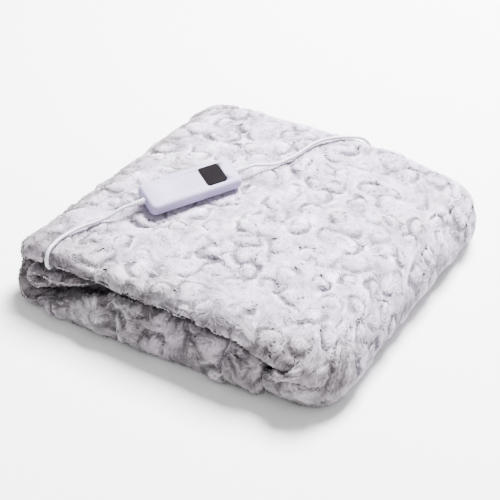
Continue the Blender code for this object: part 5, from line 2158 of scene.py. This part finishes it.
    def make_cloth(self, outer: Grid, inner: Grid, roses: Roses) -> Piece:
        """Join both sides at the hems into one closed mesh.

        Args:
            outer: The outer side.
            inner: The inner side.
            roses: The embossing, whose grooves get painted shade.

        Returns:
            The cloth.
        """
        rows, across = outer.points.shape[:2]
        border = np.zeros((rows, across), bool)
        border[[0, -1]], border[:, [0, -1]] = True, True
        outer_index = np.arange(rows * across).reshape(rows, across)
        inner_index = outer_index.copy()
        inner_index[~border] = rows * across + np.arange(int((~border).sum()))
        verts = np.concatenate([outer.points.reshape(-1, 3), inner.points[~border]])
        fold = np.concatenate([outer.fold.reshape(-1), inner.fold[~border]])
        grooves = [roses.read(grid.place).groove for grid in (outer, inner)]
        grooves = np.concatenate([grooves[0].reshape(-1), grooves[1][~border]])
        shares = (np.linspace(0, 1, rows), np.linspace(0, 1, across))
        spots = np.stack(np.meshgrid(*shares, indexing="ij"), axis=2)
        here, after = slice(None, -1), slice(1, None)
        ring = [(here, here), (after, here), (after, after), (here, after)]
        faces, maps = [], []
        for index, base, cells in ((outer_index, 0.0, ring), (inner_index, 0.5, ring[::-1])):
            faces.append(np.stack([index[a].reshape(-1) for a in cells], axis=1))
            placed = spots * (0.98, 0.48) + (0.01, base + 0.01)
            maps.append(np.stack([placed[a].reshape(-1, 2) for a in cells], axis=1))
        mesh = bpy.data.meshes.new("plush_cloth")
        mesh.from_pydata(verts.tolist(), [], np.concatenate(faces).tolist())
        mesh.shade_smooth()
        keep_map(mesh, maps)
        # Painted shade darkens the cloth in the roses' grooves.
        shade = self.ground_tone - self.ground_groove_shade * grooves
        keep_shades(mesh, shade, fold, verts[:, 0] * self.strands_per_metre)
        return add_object(mesh, CLOTH_GROUND, "blanket")

    def openness(self, grid: Grid, tree: BVHTree) -> Array:
        """How much of a side shows at each cell.

        Args:
            grid: The side.
            tree: The whole cloth, which may cover itself.

        Returns:
            The share of directions in which the cell sees out.
        """
        ways = []
        for k in range(self.ways):
            z = self.way_z[0] + (self.way_z[1] - self.way_z[0]) * (k + 0.5) / self.ways
            level, turn = sqrt(1.0 - z * z), k * pi * (3.0 - sqrt(5.0))
            ways.append(Vector((level * cos(turn), level * sin(turn), z)))
        rows, across = grid.points.shape[0] - 1, grid.points.shape[1] - 1
        seen = np.zeros((rows, across))
        for i in range(0, rows, self.block):
            for j in range(0, across, self.block):
                spot = (min(i + 1, rows - 1), min(j + 1, across - 1))
                normal = Vector(grid.normals[spot])
                start = Vector(grid.points[spot]) + normal * self.way_start
                out = (way for way in ways if way.dot(normal) > self.way_rise)
                free = sum(tree.ray_cast(start, way)[0] is None for way in out)
                seen[i : i + self.block, j : j + self.block] = free / self.ways
        return seen

    def grow(
        self, sides: tuple[Grid, Grid], roses: Roses, cloth: Piece, controller: Controller
    ) -> list[Piece]:
        """Grow the pile wherever the cloth shows.

        Args:
            sides: The cloth's outer and inner sides.
            roses: The embossing.
            cloth: The cloth, which may cover itself.
            controller: What no lock runs through.

        Returns:
            The pieces of the pile.
        """
        spots, faces = cloth.data.vertices, cloth.data.polygons
        tree = BVHTree.FromPolygons([v.co for v in spots], [face.vertices for face in faces])
        areas = []
        for grid in sides:
            seen = self.openness(grid, tree)
            area = norm(np.cross(grid.along_i, grid.along_j), axis=2)[:-1, :-1]
            share = np.clip(seen / self.full_from, self.least_pile, 1.0)
            areas.append(area * (seen > 0.0) * share)
        shown = sum(float(area.sum()) for area in areas)
        draw = np.random.default_rng(self.seed + 5)
        density = self.locks_in_all / shown
        grown = [self.locks_on(g, area * density, roses, draw) for g, area in zip(sides, areas)]
        verts, facing, shades, folds, order = (np.concatenate(parts) for parts in zip(*grown))
        clear = ~np.any(controller.pierced(verts), axis=1)
        lie = np.argsort(order, kind="stable")
        lie = lie[clear[lie]]
        pieces = []
        parts = np.array_split(lie, ceil(len(lie) / self.most_in_a_piece))
        for number, part in enumerate(parts, 1):
            kept = (values[part] for values in (verts, facing, shades, folds))
            pieces.append(add_object(lock_mesh(f"pile_{number}", *kept), PILE_FIBRE))
        log.info("pile: %d locks in %d pieces over %.3f m2", len(lie), len(pieces), shown)
        return pieces

    def locks_on(
        self, grid: Grid, wanted: Array, roses: Roses, draw: np.random.Generator
    ) -> tuple[Array, ...]:
        """Points, normals and shades of the locks on one side.

        Args:
            grid: The side.
            wanted: How many locks each of its cells has.
            roses: The embossing, which says how the pile lies.
            draw: The seeded draw.

        Returns:
            Points and normals, shades by point, fold shades, and distances along the strip.
        """
        number = np.floor(wanted + draw.uniform(0, 1, wanted.shape)).astype(int)
        i, j = np.repeat(np.indices(number.shape).reshape(2, -1), number.reshape(-1), axis=1)
        count = len(i)
        spot = i + draw.uniform(0, 1, count) + 1j * (j + draw.uniform(0, 1, count))
        place = grid.sample(grid.place, spot)
        tuft, tuft_tone, tuft_sway = self.tufts(place)
        root = roses.read(place)
        long = draw.uniform(*self.lock_long, count)
        sway = tuft_sway + draw.normal(0.0, self.lock_sway, count)
        from_front = (place - grid.sample(grid.place, spot.real)).imag
        from_back = (grid.sample(grid.place, spot.real + Grid.FAR_HEM) - place).imag
        out_v = np.where(from_front < from_back, -1.0, 1.0)
        to_hem = np.minimum(from_front, from_back)
        to_end = place.real - grid.place[0, 0].real
        near_hem = self.hem_comb * (1.0 - smoothstep(to_hem / self.hem_reach))
        near_end = self.end_comb * (1.0 - smoothstep(to_end / self.hem_reach))
        x = grid.sample(grid.points, spot)[:, 0]
        corner = smoothstep((x - self.corner_from[0]) / self.corner_from[1])
        over = self.hem_over + self.corner_over * corner * (from_front < from_back)
        steps = [np.zeros(count, complex)]
        crossed = root.groove
        for _ in range(2):
            way = roses.read(place + steps[-1]).way * np.exp(1j * sway) * (1.0 - near_hem)
            way = (way + 1j * out_v * near_hem) * (1.0 - near_end) - near_end
            steps.append(steps[-1] + way * long / 2)
            crossed = np.maximum(crossed, roses.read(place + steps[-1]).groove)
        crossing = smoothstep(crossed * self.crossing[0] - self.crossing[1])
        short = 1.0 - self.groove_short * crossing
        outward = np.maximum(steps[2].imag * out_v, 1e-6)
        short = short * np.clip((to_hem + over) / outward, self.shortest, 1.0)
        steps = [step * short for step in steps]
        steps[2] = steps[2] + self.drawn_together * short * (tuft - place)
        wide = draw.uniform(*self.lock_wide, count)
        tip_lift = draw.uniform(*self.lift_tip, count)
        flatter = 1.0 - self.groove_flat * root.groove
        lifts = (np.full(count, -self.sunk), self.lift_middle * flatter, tip_lift * flatter)
        centres, ups = self.along_locks(grid, spot, steps, lifts, over)
        verts, facing = self.lock_points(centres, ups, wide)
        own = tuft_tone + draw.normal(0.0, self.lock_tone, count)
        shades = np.zeros((count, 7))
        parts = (slice(0, 3), slice(3, 6), slice(6, 7))
        # A lock's shade: the roses' tone with its painted relief shading and highlight, less
        # painted shade in the grooves, with its own tone and its frosted root and tip.
        for step, part, lighter in zip(steps, parts, self.lighter):
            at = roses.read(place + step)
            shades[:, part] = (at.tone - self.groove_painted_shade * at.groove + own + lighter)[:, None]
        fold = grid.sample(grid.fold, spot) + draw.normal(0.0, self.fold_spread, count)
        fold = fold + self.fold_patches * smoothstep(roses.patches.read(place))
        fold = np.clip(fold, 0.0, 1.0)
        shades = 0.5 + (shades - 0.5) * (1.0 + self.fold_contrast * fold[:, None])
        return verts, facing, np.clip(shades, 0.0, 1.0), fold, place.real

    def along_locks(
        self, grid: Grid, spot: Array, steps: list[Array], lifts: Sequence[Array], over: Array
    ) -> tuple[list[Array], list[Array]]:
        """Root, middle and tip of each lock, above the cloth.

        Args:
            grid: The side.
            spot: Where the locks stand on it.
            steps: How far from there, on the strip, each of the three lies.
            lifts: How high each of the three is.
            over: How far past a hem a lock may reach.

        Returns:
            The three points, and the side's normals there.
        """
        per_i = np.maximum(norm(grid.sample(grid.along_i, spot), axis=1), 1e-5)
        per_j = np.maximum(norm(grid.sample(grid.along_j, spot), axis=1), 1e-5)
        centres, ups = [], []
        for step, lift in zip(steps, lifts):
            at = spot + step.real / per_i + 1j * step.imag / per_j
            ups.append(unit(grid.sample(grid.normals, at)))
            centres.append(grid.points_at(at, over) + ups[-1] * lift[:, None])
        return centres, ups

    def lock_points(
        self, centres: Sequence[Array], ups: Sequence[Array], wide: Array
    ) -> tuple[Array, Array]:
        """Two rings of three points and a tip for each lock.

        Args:
            centres: Root, middle and tip.
            ups: The cloth's normal at each.
            wide: Width of each lock.

        Returns:
            The seven points of each lock and their normals.
        """
        verts, facing = np.zeros((len(wide), 7, 3)), np.zeros((len(wide), 7, 3))
        side = unit(np.cross(ups[1], centres[2] - centres[0]))
        for ring, share in enumerate((1.0, self.narrower)):
            for corner, (out, up) in enumerate(self.section):
                reach = (side * out + ups[ring] * up) * (wide * share)[:, None]
                verts[:, ring * 3 + corner] = centres[ring] + reach
                facing[:, ring * 3 + corner] = side * out * self.round_look + ups[ring]
        verts[:, 6], facing[:, 6] = centres[2], ups[2]
        verts[:, :, 2] = np.maximum(verts[:, :, 2], 0.0)
        return verts, unit(facing)

    def tufts(self, place: Array) -> tuple[Array, ...]:
        """The tuft that each lock belongs to.

        Args:
            place: Where the locks stand on the strip.

        Returns:
            The tuft's middle, its tone and its sway.
        """
        draw = np.random.default_rng(self.seed + 9)
        size = self.tufts_across
        off_u, off_v = draw.uniform(-self.tuft_jitter, self.tuft_jitter, (2, size, size))
        tone = draw.normal(0.0, self.tuft_tone, (size, size))
        sway = draw.normal(0.0, self.tuft_sway, (size, size))
        nearest = np.rint(place / self.tuft)
        best = np.full(place.shape, np.inf)
        found = [np.zeros(place.shape)] * 3
        for step in (complex(a, b) for a in (-1, 0, 1) for b in (-1, 0, 1)):
            cell = nearest + step
            at = cell.real.astype(int) % size, cell.imag.astype(int) % size
            middle = (cell + off_u[at] + 1j * off_v[at]) * self.tuft
            far = np.abs(place - middle)
            values = (middle, tone[at], sway[at])
            found = [np.where(far < best, new, old) for new, old in zip(values, found)]
            best = np.minimum(best, far)
        return tuple(found)


def main() -> None:
    """Build the studio, then each piece, and report it."""
    studio = Studio()
    studio.place_camera()
    controller, coil, leads, plug = Controller(), Coil(), Leads(), Plug()
    into_fold = leads.leaving(controller, -1, CONTROL_ROUTE)
    to_plug = leads.mains_points(controller, coil, plug.lead_end())
    control, control_long = leads.make("control_flex", into_fold, "control_lead")
    mains, mains_long = leads.make("mains_flex", to_plug, "mains_lead", "lead_coil", "plug_lead")
    left_boot = controller.make_relief(-1, "relief_left")
    right_boot = controller.make_relief(1, "relief_right")
    tie = coil.make_tie()
    plug_pieces = [plug.make_body(), plug.make_boot(), *plug.make_pins()]
    tuple(controller.tip(-1))
    tuple(controller.tip(1))
    log.info("leads: %.3f m into the fold, %.3f m to the plug", control_long, mains_long)
    controller.make_case()
    controller.make_window()
    controller.make_mark()
    log.info("controller: case, window and mark")
    Plush().build(controller)
    studio.set_up()


if __name__ == "__main__":
    main()
